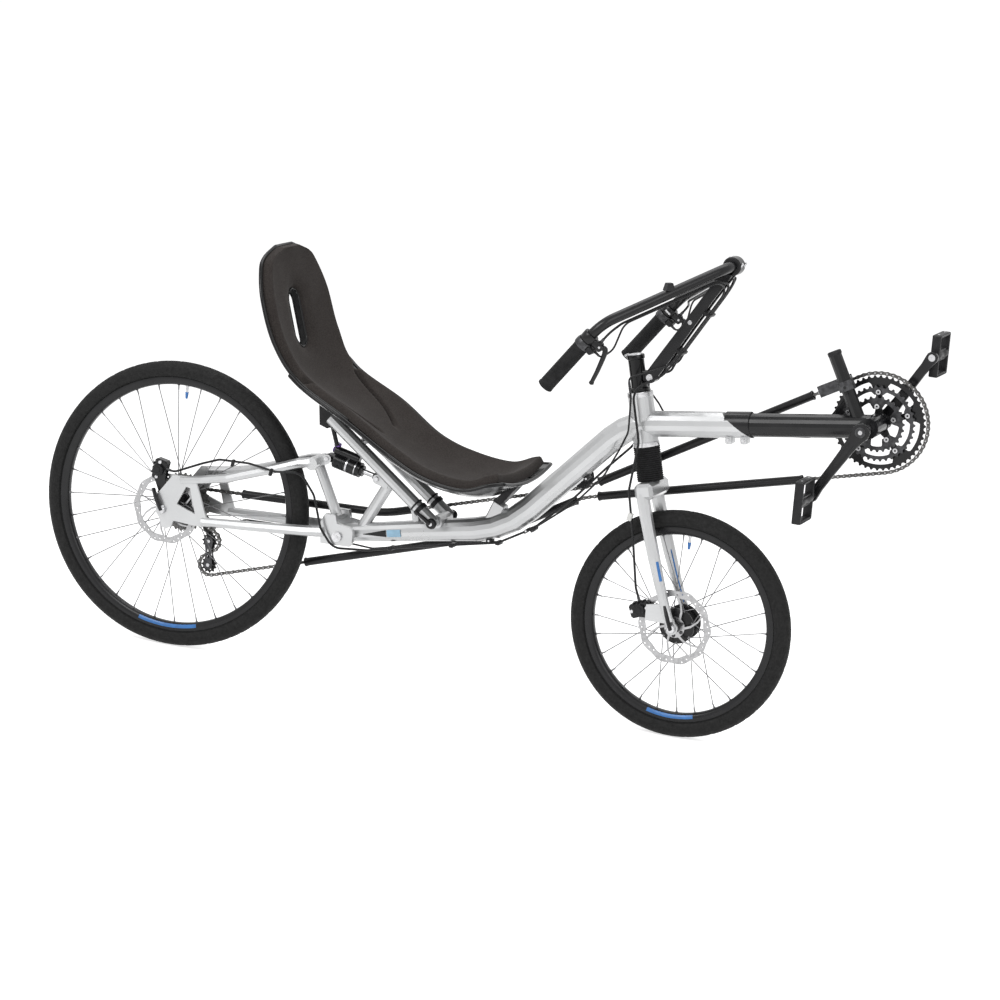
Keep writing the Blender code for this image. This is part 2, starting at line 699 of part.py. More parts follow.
def seat_spot(place, lift):
    """A point over the seat's middle line, and the way its surface faces."""
    edge, half, dish, facing = seat_section(place)
    spot = edge + facing * (lift - dish)
    return on_ground(spot.x, spot.y), Vector((facing.x, 0.0, facing.y))


def seat_layer(first, last, low, high, width=1.0, across=8):
    """A closed sheet that follows the seat between two heights above the shell's own surface."""
    bm = bmesh.new()
    grids = []
    for lift in (low, high):
        grid = []
        for edge, half, dish, facing in seat_sections(first, last):
            row = []
            for j in range(across + 1):
                v = (2 * j / across - 1) * width
                slope = 2 * dish * v / half
                flat = math.hypot(1.0, slope)
                up = lift / flat - dish * (1 - v * v)
                row.append(bm.verts.new((edge.x + facing.x * up, half * v - lift * slope / flat,
                                         edge.y + facing.y * up)))
            grid.append(row)
        grids.append(grid)
    bottom, top = grids
    rows, columns = len(bottom), across + 1
    for grid in grids:
        for i in range(rows - 1):
            for j in range(columns - 1):
                bm.faces.new((grid[i][j], grid[i + 1][j], grid[i + 1][j + 1], grid[i][j + 1]))
    border = [(i, 0) for i in range(rows)] + [(rows - 1, j) for j in range(1, columns)]
    border += [(i, columns - 1) for i in range(rows - 2, -1, -1)]
    border += [(0, j) for j in range(columns - 2, 0, -1)]
    for (i, j), (k, m) in zip(border, border[1:] + border[:1]):
        bm.faces.new((bottom[i][j], bottom[k][m], top[k][m], top[i][j]))
    return solid_from(bm)


def head_slot():
    """Stadium-shaped cutter through the shell and the pad behind the rider's neck."""
    top, bottom = on_ground(*SLOT_TOP), on_ground(*SLOT_BOTTOM)
    run = bottom - top
    half = run.length / 2
    outline = [(half + SLOT_HALF * math.cos(math.radians(a)), SLOT_HALF * math.sin(math.radians(a)))
               for a in range(-90, 91, 30)]
    outline += [(-x, -y) for x, y in outline]
    place = Matrix.Translation((top + bottom) / 2) @ Matrix.Rotation(-math.atan2(run.z, run.x), 4, "Y")
    return plate([outline], 0.24, place)


def build_seat():
    shell_back = -SHELL_T
    lower_top = -SHELL_T - SEAT_FIT
    upper = seat_layer(0, UPPER_SHELL_END, shell_back, 0.0, UPPER_SHELL_WIDTH)
    piece("seat_shell_upper", cut(upper, head_slot()), "shell_gloss", "frame")
    lower = seat_layer(LOWER_SHELL_START, len(SEAT_LINE) - 1, lower_top - SHELL_T, lower_top)
    piece("seat_shell_lower", lower, "shell_gloss", "frame")
    pad = seat_layer(0.12, UPPER_SHELL_END, SEAT_FIT, PAD_T, UPPER_SHELL_WIDTH * PAD_WIDTH)
    piece("seat_pad_upper", cut(pad, head_slot()), "seat_foam", "frame")
    pad = seat_layer(UPPER_SHELL_END + 0.03, len(SEAT_LINE) - 1.25, lower_top + SEAT_FIT, PAD_T, PAD_WIDTH)
    piece("seat_pad_lower", pad, "seat_foam", "frame")


def seat_foot(place, length, width, thickness, drop):
    """A plate that lies against the shell's underside at a place along the seat, and its middle."""
    spot, facing = seat_spot(place, -2 * SHELL_T - SEAT_FIT - GAP)
    middle = spot - facing * (thickness / 2 + drop)
    return block(middle, (length, width, thickness), math.atan2(facing.x, facing.z)), middle, facing


def front_lug_axis():
    """The way the frame's lug under the seat's front points."""
    return (seat_spot(FRONT_FOOT_PLACE, 0.0)[0] - on_ground(*FRONT_LUG)).normalized()


def build_seat_brackets():
    foot = seat_foot(REAR_FOOT_PLACE, 0.046, 0.040, 0.005, 0.0005)[0]
    web = plate([REAR_BRACKET_OUTLINE], 0.026, upright(0.0))
    reach = STRUT_Y - STRUT_R - GAP
    pin = cross_rod(*REAR_BRACKET_PIN, -reach, reach, 0.0085)
    lever = rod(on_ground(0.368, 0.556, -0.024), on_ground(0.384, 0.510, -0.024), 0.0050, sides=8)
    knob = cross_rod(0.368, 0.556, -0.030, -0.010, 0.0080)
    piece("seat_bracket_rear", fused(foot, web, pin, knob, lever), "black_plastic", "frame")
    foot, middle, facing = seat_foot(FRONT_FOOT_PLACE, 0.034, 0.044, 0.005, 0.0030)
    axis = front_lug_axis()
    low = on_ground(*FRONT_LUG) + axis * (FRONT_LUG_REACH + GAP)
    across, along = Vector((axis.z, 0, -axis.x)) * 0.015, Vector((facing.z, 0, -facing.x)) * 0.016
    corners = [low - across, low + across * 0.3, middle + along, middle - along * 0.9]
    post = plate([[(corner.x, corner.z) for corner in corners]], 0.036, upright(0.0))
    piece("seat_bracket_front", fused(foot, post), "black_plastic", "frame")


def tyre_profile(outer_r):
    """Round tread over straight sides that end on the rim's flanges."""
    seat_r = outer_r - TYRE_H
    centre = outer_r - TYRE_W / 2
    points = [(seat_r + GAP, -RIM_W / 2 + 0.003), (seat_r + RIM_FLANGE_H + GAP, -RIM_W / 2 + 0.0006)]
    for degrees in (-125, -85, -50, -18, 18, 50, 85, 125):
        angle = math.radians(degrees)
        points.append((centre + TYRE_W / 2 * math.cos(angle), TYRE_W / 2 * math.sin(angle)))
    points += [(seat_r + RIM_FLANGE_H + GAP, RIM_W / 2 - 0.0006), (seat_r + GAP, RIM_W / 2 - 0.003)]
    return points


def rim_profile(outer_r):
    """Two flanges, a bead seat and a shallow box below it."""
    seat_r = outer_r - TYRE_H
    half = RIM_W / 2
    seat_half = half - 0.0025
    return [(seat_r + RIM_FLANGE_H, half), (seat_r, seat_half), (seat_r, -seat_half),
            (seat_r + RIM_FLANGE_H, -half), (seat_r - 0.006, -half), (seat_r - RIM_DEPTH, -half * 0.45),
            (seat_r - RIM_DEPTH, half * 0.45), (seat_r - 0.006, half)]


def wheel_hub(half_old, flanges, body_r, flange_r, frame):
    bore_r = (AXLE_R + RUNNING_GAP) / math.cos(math.pi / 12)
    end = half_old - RUNNING_GAP
    near, far = flanges
    half_t = HUB_FLANGE_T / 2
    profile = [(bore_r, -end), (HUB_NECK_R, -end), (HUB_NECK_R, near - 0.006), (body_r, near - half_t)]
    profile += [(flange_r, near - half_t), (flange_r, near + half_t), (body_r, near + half_t)]
    profile += [(body_r, far - half_t), (flange_r, far - half_t), (flange_r, far + half_t)]
    profile += [(body_r, far + half_t), (HUB_NECK_R, far + 0.003), (HUB_NECK_R, end), (bore_r, end)]
    return lathe(profile, frame, 12)


def build_wheel(body, axle, outer_r, flanges, half_old, spokes, crosses, body_r, flange_r):
    frame = Matrix.Translation(axle) @ ACROSS
    piece(f"{body}_tyre", lathe(tyre_profile(outer_r), frame, TYRE_STEPS), "tyre_rubber", body)
    piece(f"{body}_rim", lathe(rim_profile(outer_r), frame, TYRE_STEPS), "black_paint", body)
    rim_inner = (outer_r - TYRE_H - RIM_DEPTH) * math.cos(math.pi / TYRE_STEPS) - GAP
    rods = []
    for i in range(spokes):
        side = i % 2
        lean = 1 if (i // 2) % 2 else -1
        rim_angle = math.tau * (i + 0.25) / spokes
        hub_angle = rim_angle + lean * crosses * math.tau / spokes * 1.6
        hub_r = flange_r - 0.003
        start = Vector((math.cos(hub_angle) * hub_r, flanges[side] + lean * 0.0012, math.sin(hub_angle) * hub_r))
        end = Vector((math.cos(rim_angle) * rim_inner, (side * 2 - 1) * 0.003, math.sin(rim_angle) * rim_inner))
        rods.append(rod(axle + start, axle + end, SPOKE_R, sides=3))
    hub = wheel_hub(half_old, flanges, body_r, flange_r, frame)
    piece(f"{body}_hub_and_spokes", fused(hub, *rods), "bright_steel", body)
    carrier = "steering" if body == "front_wheel" else "frame"
    reach = half_old + DROPOUT_T + NUT_L
    axle_rod = cross_rod(axle.x, axle.z, -reach, reach, AXLE_R)
    nuts = [cross_rod(axle.x, axle.z, side * (half_old + DROPOUT_T + GAP), side * (reach - 0.002), NUT_R, sides=6)
            for side in (-1, 1)]
    piece(f"{body}_axle", fused(axle_rod, *nuts), "dark_steel", carrier)


def toothed(teeth, tip_r, depth=0.0035, fine=True):
    """Outline of a sprocket: flat tips and roots, or plain points on a fine-toothed one."""
    shape = ((0.14, tip_r), (0.36, tip_r - depth), (0.64, tip_r - depth), (0.86, tip_r)) if fine else (
        (0.0, tip_r), (0.5, tip_r - depth))
    return [(radius * math.cos(math.tau * (i + share) / teeth), radius * math.sin(math.tau * (i + share) / teeth))
            for i in range(teeth) for share, radius in shape]


def pitch_radius(teeth):
    return CHAIN_PITCH / (2 * math.sin(math.pi / teeth))


def tip_radius(teeth):
    return pitch_radius(teeth) + TOOTH_RISE


def build_disc(body, axle, half_old):
    y = -(half_old - DISC_INSET)
    place = Matrix.Translation(axle) @ upright(y)
    ring = plate([circle(DISC_R, 32), circle(DISC_R - DISC_BAND, 20)], DISC_T, place)
    arms = []
    for i in range(5):
        inner, outer = math.tau * i / 5, math.tau * i / 5 + 0.45
        start = axle + Vector((math.cos(inner) * 0.019, y, math.sin(inner) * 0.019))
        end = axle + Vector((math.cos(outer) * (DISC_R - 0.012), y, math.sin(outer) * (DISC_R - 0.012)))
        run = end - start
        arms.append(block((start + end) / 2, (run.length, DISC_T * 0.8, 0.007), -math.atan2(run.z, run.x)))
    centre = lathe([(HUB_NECK_R + GAP, -DISC_T / 2), (0.023, -DISC_T / 2), (0.023, DISC_T / 2),
                    (HUB_NECK_R + GAP, DISC_T / 2)],
                   Matrix.Translation(axle + Vector((0, y, 0))) @ ACROSS, 16)
    piece(f"{body}_disc", fused(centre, ring, *arms), "bright_steel", body)


def build_cassette():
    parts = []
    for i, teeth in enumerate(CASSETTE):
        y = SMALL_SPROCKET_Y - i * SPROCKET_STEP
        place = Matrix.Translation(REAR_AXLE) @ upright(y)
        outline = toothed(teeth, tip_radius(teeth), fine=False)
        if 0 < i < len(CASSETTE) - 1:
            outline = circle(tip_radius(teeth) - 0.0015, 18)
        parts.append(plate([outline], SPROCKET_T, place))
    low = SMALL_SPROCKET_Y - (len(CASSETTE) - 1) * SPROCKET_STEP - SPROCKET_T / 2
    high = SMALL_SPROCKET_Y + SPROCKET_T / 2 + 0.001
    core = cross_rod(0.0, REAR_TYRE_R, low - 0.0005, high, 0.0165)
    bore_r = (HUB_NECK_R + GAP) / math.cos(math.pi / 12)
    bore = cross_rod(0.0, REAR_TYRE_R, low - 0.01, high + 0.01, bore_r)
    piece("rear_wheel_cassette", cut(fused(core, *parts), bore), "dark_steel", "rear_wheel")


def belt(wheels, step=0.20):
    """Closed route round circles: rows of centre, radius, place across, turn (1 left, -1 right)."""
    joints = []
    for (c0, r0, y0, t0), (c1, r1, y1, t1) in zip(wheels, wheels[1:] + wheels[:1]):
        run = Vector(c1) - Vector(c0)
        heading = math.atan2(run.y, run.x)
        heading += math.asin((t1 * r1 - t0 * r0) / run.length) * -1
        joints.append(heading)
    arcs = []
    for i, ((cx, cz), radius, y, turn) in enumerate(wheels):
        arrive, leave = joints[i - 1], joints[i]
        swing = (leave - arrive) * turn % math.tau
        count = max(1, math.ceil(swing / step))
        headings = [arrive + turn * swing * k / count for k in range(count + 1)]
        arcs.append([Vector((cx + turn * radius * math.sin(heading), y,
                             cz - turn * radius * math.cos(heading))) for heading in headings])
    return arcs


def chain_wheels():
    """What the chain goes round, from the ring's top back along the pulling run."""
    centre_to_tip = CHAIN_H / 2 + TOOTH_GAP
    return [
        ((CRANK_X, CRANK_Z), tip_radius(BIG_RING) + centre_to_tip, CHAINLINE, 1),
        (IDLER, IDLER_R + centre_to_tip, IDLER_Y, -1),
        (PULL_BEND, TUBE_BEND_R, IDLER_Y, -1),
        ((0.0, REAR_TYRE_R), tip_radius(CASSETTE[0]) + centre_to_tip, SMALL_SPROCKET_Y, 1),
        (GUIDE_PULLEY, PULLEY_R + centre_to_tip, SMALL_SPROCKET_Y, -1),
        (TENSION_PULLEY, PULLEY_R + centre_to_tip, SMALL_SPROCKET_Y, 1),
        (RETURN_LOW_BEND, TUBE_BEND_R, RETURN_Y, 1),
        (RETURN_HIGH_BEND, TUBE_BEND_R / 2, RETURN_Y, -1),
    ]


def clipped(run, x0, x1):
    """The part of a run between two places along the bicycle, from front to back or back to front."""
    low, high = min(x0, x1), max(x0, x1)
    path = []
    for a, b in zip(run, run[1:]):
        if low <= a.x <= high:
            path.append(a)
        for x in sorted((low, high), reverse=b.x < a.x):
            if min(a.x, b.x) < x < max(a.x, b.x):
                path.append(a.lerp(b, (x - a.x) / (b.x - a.x)))
    if low <= run[-1].x <= high:
        path.append(run[-1])
    return path


def pipe(path, outer_r, inner_r, resolution=2):
    first, last = path[0] - path[1], path[-1] - path[-2]
    longer = [path[0] + first.normalized() * 0.01] + path[1:-1] + [path[-1] + last.normalized() * 0.01]
    return cut(tube(path, outer_r, resolution=resolution), tube(longer, inner_r, resolution=resolution))


def build_chain():
    arcs = belt(chain_wheels())
    pulling = [arcs[0][-1]] + arcs[1] + arcs[2] + [arcs[3][0]]
    returning = [arcs[5][-1]] + arcs[6] + arcs[7] + [arcs[0][0]]
    for name, run, x0, x1 in (("pulling_front", pulling, *PULL_FRONT_TUBE),
                              ("pulling_rear", pulling, *PULL_REAR_TUBE),
                              ("return_front", returning, *RETURN_FRONT_TUBE),
                              ("return_rear", returning, *RETURN_REAR_TUBE)):
        piece(f"chain_tube_{name}", pipe(clipped(run, x0, x1), CHAIN_TUBE_R, CHAIN_TUBE_BORE),
              "black_plastic", "frame")
    route = [point for arc in arcs for point in arc]
    stations = chain_stations(route)
    bm = bmesh.new()
    rings = []
    for i, (point, half) in enumerate(stations):
        run = (stations[(i + 1) % len(stations)][0] - stations[i - 1][0]).normalized()
        rise = run.cross(Vector((0, 1, 0))).normalized()
        side = rise.cross(run).normalized()
        rings.append([bm.verts.new(point + side * half * a + rise * CHAIN_H / 2 * b)
                      for a, b in ((-1, -1), (1, -1), (1, 1), (-1, 1))])
    for ring, after in zip(rings, rings[1:] + rings[:1]):
        for k in range(4):
            bm.faces.new((ring[k], ring[(k + 1) % 4], after[(k + 1) % 4], after[k]))
    piece("chain", solid_from(bm), "dark_steel", "frame")


def chain_stations(route):
    """Points along the chain with its half width: each bare link's ends, and bends inside the tubes."""
    lengths = [0.0]
    loop = route + [route[0]]
    for a, b in zip(loop, loop[1:]):
        lengths.append(lengths[-1] + (b - a).length)
    links = 2 * round(lengths[-1] / CHAIN_PITCH / 2)
    pitch = lengths[-1] / links
    marks = [(length, CHAIN_INNER_W / 2, point) for length, point in zip(lengths, route) if in_tube(point)]
    k = 0
    for i in range(links):
        half = CHAIN_W / 2 if i % 2 else CHAIN_INNER_W / 2
        for share in (0.12, 0.88):
            mark = (i + share) * pitch
            while lengths[k + 1] < mark:
                k += 1
            point = loop[k].lerp(loop[k + 1], (mark - lengths[k]) / (lengths[k + 1] - lengths[k]))
            if not in_tube(point):
                marks.append((mark, half, point))
    marks.sort(key=lambda entry: entry[0])
    return [(point, half) for length, half, point in marks]


def in_tube(point):
    """Whether a place on the chain is well inside one of its tubes."""
    pulling = point.z > RUN_SPLIT_Z + RUN_SPLIT_SLOPE * point.x
    tubes = (PULL_FRONT_TUBE, PULL_REAR_TUBE) if pulling else (RETURN_FRONT_TUBE, RETURN_REAR_TUBE)
    return any(min(x0, x1) + 0.02 < point.x < max(x0, x1) - 0.02 for x0, x1 in tubes)


def build_idler():
    wheel = lathe([(0.0, -0.005), (IDLER_R + 0.005, -0.005), (IDLER_R + 0.004, -0.0036), (IDLER_R, -0.0036),
                   (IDLER_R, 0.0036), (IDLER_R + 0.004, 0.0036), (IDLER_R + 0.005, 0.005), (0.0, 0.005)],
                  Matrix.Translation(on_ground(*IDLER, IDLER_Y)) @ ACROSS, 16)
    bolt = cross_rod(*IDLER, 0.0405, IDLER_Y + 0.010, 0.006)
    piece("chain_idler", fused(wheel, bolt), "black_plastic", "frame")


def build_rear_derailleur():
    y = SMALL_SPROCKET_Y
    parts = []
    for side in (-1, 1):
        plate_y = y + side * (CHAIN_W / 2 + 0.0035)
        angle = -math.atan2(GUIDE_PULLEY[1] - TENSION_PULLEY[1], GUIDE_PULLEY[0] - TENSION_PULLEY[0])
        middle = (on_ground(*GUIDE_PULLEY, plate_y) + on_ground(*TENSION_PULLEY, plate_y)) / 2
        span = (Vector(GUIDE_PULLEY) - Vector(TENSION_PULLEY)).length
        parts.append(block(middle, (span, 0.002, 0.018), angle))
        for centre in (GUIDE_PULLEY, TENSION_PULLEY):
            parts.append(cross_rod(*centre, plate_y - 0.001, plate_y + 0.001, 0.013))
    for centre in (GUIDE_PULLEY, TENSION_PULLEY):
        parts.append(plate([toothed(11, PULLEY_R, 0.003, fine=False)], 0.0022, Matrix.Translation(on_ground(*centre, y))
                           @ upright(0.0)))
        parts.append(cross_rod(*centre, y - 0.008, y + 0.008, 0.0045, sides=10))
    outer_y = DROPOUT_Y + DROPOUT_T / 2 + GAP
    parts.append(cross_rod(*HANGER, outer_y, outer_y + 0.018, 0.011))
    parts.append(cross_rod(*KNUCKLE, y + 0.006, outer_y + 0.016, 0.012))
    link = on_ground(*KNUCKLE) - on_ground(*HANGER)
    centre = (on_ground(*KNUCKLE) + on_ground(*HANGER)) / 2 + Vector((0, outer_y + 0.009, 0))
    parts.append(block(centre, (link.length, 0.014, 0.018), -math.atan2(link.z, link.x), 0.002))
    arm = on_ground(*GUIDE_PULLEY) - on_ground(*KNUCKLE)
    centre = (on_ground(*KNUCKLE) + on_ground(*GUIDE_PULLEY)) / 2 + Vector((0, y + CHAIN_W / 2 + 0.0055, 0))
    parts.append(block(centre, (arm.length, 0.004, 0.018), -math.atan2(arm.z, arm.x)))
    piece("rear_derailleur", fused(parts[0], *parts[1:], solver="MANIFOLD"), "dark_steel", "frame")


def build_front_derailleur():
    slope = math.radians(28.4)
    centre = on_ground(1.450, 0.781, CHAINLINE)
    parts = []
    for side in (-1, 1):
        parts.append(block(centre + Vector((0, side * 0.0072, 0)), (0.074, 0.0016, 0.024), -slope))
    lift = Vector((-math.sin(slope), 0, math.cos(slope)))
    parts.append(block(centre + lift * 0.0105, (0.030, 0.016, 0.003), -slope))
    post = on_ground(*POST_FOOT).lerp(on_ground(*POST_TOP), 0.52)
    post_dir = (on_ground(*POST_TOP) - on_ground(*POST_FOOT)).normalized()
    band = rod(post - post_dir * 0.010, post + post_dir * 0.010, POST_R + 0.004)
    arm = block(post + Vector((-0.012, 0.0275, 0.002)), (0.030, 0.035, 0.018), -slope, 0.002)
    body = fused(parts[0], *parts[1:], band, arm)
    bore = rod(post - post_dir * 0.02, post + post_dir * 0.02, (POST_R + GAP) / math.cos(math.pi / 12))
    piece("front_derailleur", cut(body, bore), "dark_steel", "frame")


def build_caliper(name, axle, disc_y, centre, turn, mount_outline, body):
    y = disc_y + (CALIPER_IN - CALIPER_OUT) / 2
    shell = block(on_ground(*centre, y), (0.030, CALIPER_IN + CALIPER_OUT, 0.046), turn, 0.004)
    piston = cross_rod(*centre, disc_y - CALIPER_OUT - 0.006, disc_y - 0.010, 0.013)
    adapter = plate([mount_outline], ADAPTER_T, upright(disc_y - CALIPER_OUT - ADAPTER_PROUD + ADAPTER_T / 2))
    joined = fused(shell, piston, adapter)
    slot = cross_rod(axle.x, axle.z, disc_y - DISC_T / 2 - DISC_GAP, disc_y + DISC_T / 2 + DISC_GAP,
                     DISC_R + 0.004, sides=40)
    piece(name, cut(joined, slot), "black_plastic", body)


def build_fork():
    crown_top = HEAD_FOOT - STEER_DIR * (BOOT_LENGTH + GAP)
    crown = block(crown_top - STEER_DIR * CROWN_H / 2, (0.040, 2 * BLADE_TOP_Y + 0.026, CROWN_H), -HEAD_TILT, 0.007)
    column_top = HEAD_TOP + STEER_DIR * (RISER_LENGTH - RISER_CAP - GAP)
    column = rod(crown_top - STEER_DIR * 0.01, column_top, COLUMN_R, sides=16)
    parts = [column]
    for side in (-1, 1):
        path = [on_ground(x, z, side * lerp(BLADE_FOOT_Y, BLADE_TOP_Y, (z - 0.25) / 0.25)) for x, z in BLADE_LINE]
        path = smooth_path(path, 2)
        stops = [(0, 1.0), (0.5, 0.92), (1, BLADE_FOOT_R / BLADE_TOP_R)]
        parts.append(tube(path, BLADE_TOP_R, ramp(path, stops), resolution=3))
        tip_y = side * (FRONT_HALF_OLD + DROPOUT_T / 2)
        foot = on_ground(*BLADE_LINE[-1], tip_y)
        tip = on_ground(WHEELBASE, FRONT_TYRE_R, tip_y)
        run = tip - foot
        parts.append(block((foot + tip) / 2, (run.length + 0.01, DROPOUT_T, 0.020), -math.atan2(run.z, run.x)))
        parts.append(cross_rod(WHEELBASE, FRONT_TYRE_R, tip_y - DROPOUT_T / 2, tip_y + DROPOUT_T / 2, 0.013))
    lug_y = -(FRONT_HALF_OLD - DISC_INSET) - CALIPER_OUT - ADAPTER_PROUD - GAP - 0.0025
    parts.append(plate([[(1.122, 0.252), (1.166, 0.252), (1.158, 0.292), (1.122, 0.286)]], 0.005, upright(lug_y)))
    fork = fused(crown, *parts)
    axle_hole = cross_rod(WHEELBASE, FRONT_TYRE_R, -0.1, 0.1, AXLE_R + GAP)
    piece("fork", cut(fork, axle_hole), "silver_paint", "steering")
    ribs = 5
    bore = COLUMN_R + GAP
    low, high = -BOOT_LENGTH, -GAP
    profile = [(bore, low), (BOOT_R, low)]
    for i in range(ribs):
        z0 = lerp(low, high, (i + 0.55) / ribs)
        z1 = lerp(low, high, (i + 0.75) / ribs)
        z2 = lerp(low, high, (i + 0.95) / ribs)
        profile += [(BOOT_R, z0), (BOOT_R - 0.005, z1), (BOOT_R, z2)]
    profile += [(BOOT_R, high), (bore, high)]
    piece("fork_boot", lathe(profile, STEER_FRAME, 16), "black_rubber", "steering")


def build_cockpit():
    bore = COLUMN_R + GAP
    low, high = HEAD_LENGTH + GAP, HEAD_LENGTH + RISER_LENGTH
    profile = [(0.0, low), (0.0205, low), (0.0205, low + 0.008), (RISER_R, low + 0.010),
               (RISER_R, high - 0.010), (0.0190, high - 0.009), (0.0190, high - 0.001), (0.0170, high),
               (0.0, high)]
    riser = lathe(profile, STEER_FRAME, 16)
    hinge = on_ground(*STEM_HINGE)
    ear = block(hinge - Vector((0.010, 0, 0)), (0.026, 2 * STEM_EAR_HALF - 0.001, 0.023), 0, 0.002)
    knuckle = cross_rod(*STEM_HINGE, -STEM_EAR_HALF, STEM_EAR_HALF, 0.0125)
    hole = cross_rod(*STEM_HINGE, -0.1, 0.1, STEM_BOLT_R + GAP)
    column_hole = rod(HEAD_TOP - STEER_DIR * 0.02, HEAD_TOP + STEER_DIR * (RISER_LENGTH - RISER_CAP),
                      bore, sides=16)
    piece("steering_riser", cut(fused(riser, ear, knuckle), hole, column_hole), "black_paint", "steering")
    bar = Vector(BAR_FRONT)
    run = bar - hinge
    angle = -math.atan2(run.z, run.x)
    parts = []
    for side in (-1, 1):
        y = side * (STEM_EAR_HALF + GAP + STEM_RAIL_T / 2)
        parts.append(block((bar + hinge) / 2 + Vector((0, y, 0)), (run.length, STEM_RAIL_T, STEM_RAIL_H), angle))
        parts.append(cross_rod(*STEM_HINGE, y - STEM_RAIL_T / 2, y + STEM_RAIL_T / 2, STEM_RAIL_H / 2))
    outer = STEM_EAR_HALF + GAP + STEM_RAIL_T
    parts.append(cross_rod(bar.x, bar.z, -outer, outer, 0.0185, sides=20))
    parts.append(cross_rod(*STEM_HINGE, -outer - 0.003, outer + 0.003, STEM_BOLT_R))
    middle = (bar + hinge) / 2
    parts.append(cross_rod(middle.x, middle.z, -outer, outer, 0.008))
    clamp_hole = cross_rod(bar.x, bar.z, -0.1, 0.1, (BAR_R + GAP) / math.cos(math.pi / 12))
    piece("stem", cut(fused(parts[0], *parts[1:]), clamp_hole), "black_paint", "steering")
    corners = []
    for side in (-1, 1):
        half = [Vector((BAR_FRONT[0], side * BAR_HALF_FRONT, BAR_FRONT[2])),
                Vector((BAR_BEND[0], side * BAR_BEND[1], BAR_BEND[2])),
                Vector((BAR_END[0], side * BAR_END[1], BAR_END[2]))]
        corners = list(reversed(half)) + corners if side < 0 else corners + half
    path = rounded_path(corners, [0.070, 0.055, 0.055, 0.070])
    piece("handlebar", tube(path, BAR_R, resolution=3), "black_paint", "steering")
    for name, side in (("near", -1), ("far", 1)):
        build_hand_controls(name, side)


def build_hand_controls(name, side):
    end = Vector((BAR_END[0], side * BAR_END[1], BAR_END[2]))
    bend = Vector((BAR_BEND[0], side * BAR_BEND[1], BAR_BEND[2]))
    along = (bend - end).normalized()
    out = Vector((along.z, 0.0, -along.x))
    lean = -math.atan2(along.z, along.x)
    bore_r = (BAR_R + GAP) / math.cos(math.pi / 12)

    def bore():
        return rod(end - along * GAP, end + along * 0.3, bore_r)

    grip = rod(end - along * 0.004, end + along * GRIP_LENGTH, GRIP_R, sides=14)
    piece(f"grip_{name}", cut(grip, bore()), "black_rubber", "steering")
    start = GRIP_LENGTH + GAP
    collar = rod(end + along * start, end + along * (start + SHIFTER_LENGTH), GRIP_R + 0.002)
    pod = block(end + along * (start + SHIFTER_LENGTH / 2) + out * 0.020,
                (SHIFTER_LENGTH - 0.002, 0.030, 0.014), lean, 0.002)
    piece(f"shifter_{name}", cut(fused(collar, pod), bore()), "dark_steel", "steering")
    start += SHIFTER_LENGTH + GAP
    perch = rod(end + along * start, end + along * (start + PERCH_LENGTH), GRIP_R)
    base = end + along * (start + PERCH_LENGTH / 2)
    body = block(base + out * 0.024, (PERCH_LENGTH - 0.002, 0.018, 0.026), lean, 0.003)
    tip = Vector((LEVER_TIP[0], side * BAR_END[1], LEVER_TIP[1]))
    blade = tube(smooth_path([base + out * 0.030, base + out * 0.044 - along * 0.012,
                              tip + along * 0.040 + out * 0.010, tip], 3), LEVER_R, resolution=2)
    piece(f"brake_lever_{name}", cut(fused(perch, body, blade), bore()), "black_paint", "steering")


def build_crankset():
    piece("crank_spindle", cross_rod(CRANK_X, CRANK_Z, -ARM_Y - ARM_T / 2 - 0.001, ARM_Y + ARM_T / 2 + 0.001,
                                     SPINDLE_R), "dark_steel", "crankset")
    for name, side in (("near", -1), ("far", 1)):
        reach = CRANK_DIR * CRANK_LENGTH * side
        eye = CRANK_AXLE + reach
        y = side * ARM_Y
        root = cross_rod(CRANK_X, CRANK_Z, y - ARM_T / 2, y + ARM_T / 2, 0.019, sides=20)
        tip = cross_rod(eye.x, eye.z, y - ARM_T / 2, y + ARM_T / 2, 0.013)
        angle = -math.atan2(reach.z, reach.x)
        bar = plate([[(0.0, -0.015), (CRANK_LENGTH, -0.010), (CRANK_LENGTH, 0.010), (0.0, 0.015)]], ARM_T,
                    Matrix.Translation(CRANK_AXLE + Vector((0, y, 0))) @ Matrix.Rotation(angle, 4, "Y")
                    @ upright(0.0))
        hole = cross_rod(CRANK_X, CRANK_Z, y - ARM_T, y + ARM_T, (SPINDLE_R + GAP) / math.cos(math.pi / 12))
        axle = cross_rod(eye.x, eye.z, y, side * (PEDAL_Y + PEDAL_WIDTH / 2 - 0.004), PEDAL_AXLE_R)
        piece(f"crank_arm_{name}", fused(cut(fused(root, tip, bar), hole), axle), "black_paint", "crankset")
        build_pedal(name, side, eye)
    build_chainrings()


def build_pedal(name, side, eye):
    centre = Vector((eye.x, side * PEDAL_Y, eye.z))
    body = block(centre, (PEDAL_T, PEDAL_WIDTH, PEDAL_LENGTH), 0.0, 0.003)
    windows = [block(centre + Vector((0, 0, up * 0.0235)), (0.1, PEDAL_WIDTH - 0.020, 0.023)) for up in (-1, 1)]
    bore = cross_rod(eye.x, eye.z, -0.3, 0.3, (PEDAL_AXLE_R + RUNNING_GAP) / math.cos(math.pi / 12))
    piece(f"pedal_{name}", cut(body, *windows, bore), "black_plastic", f"pedal_{name}")


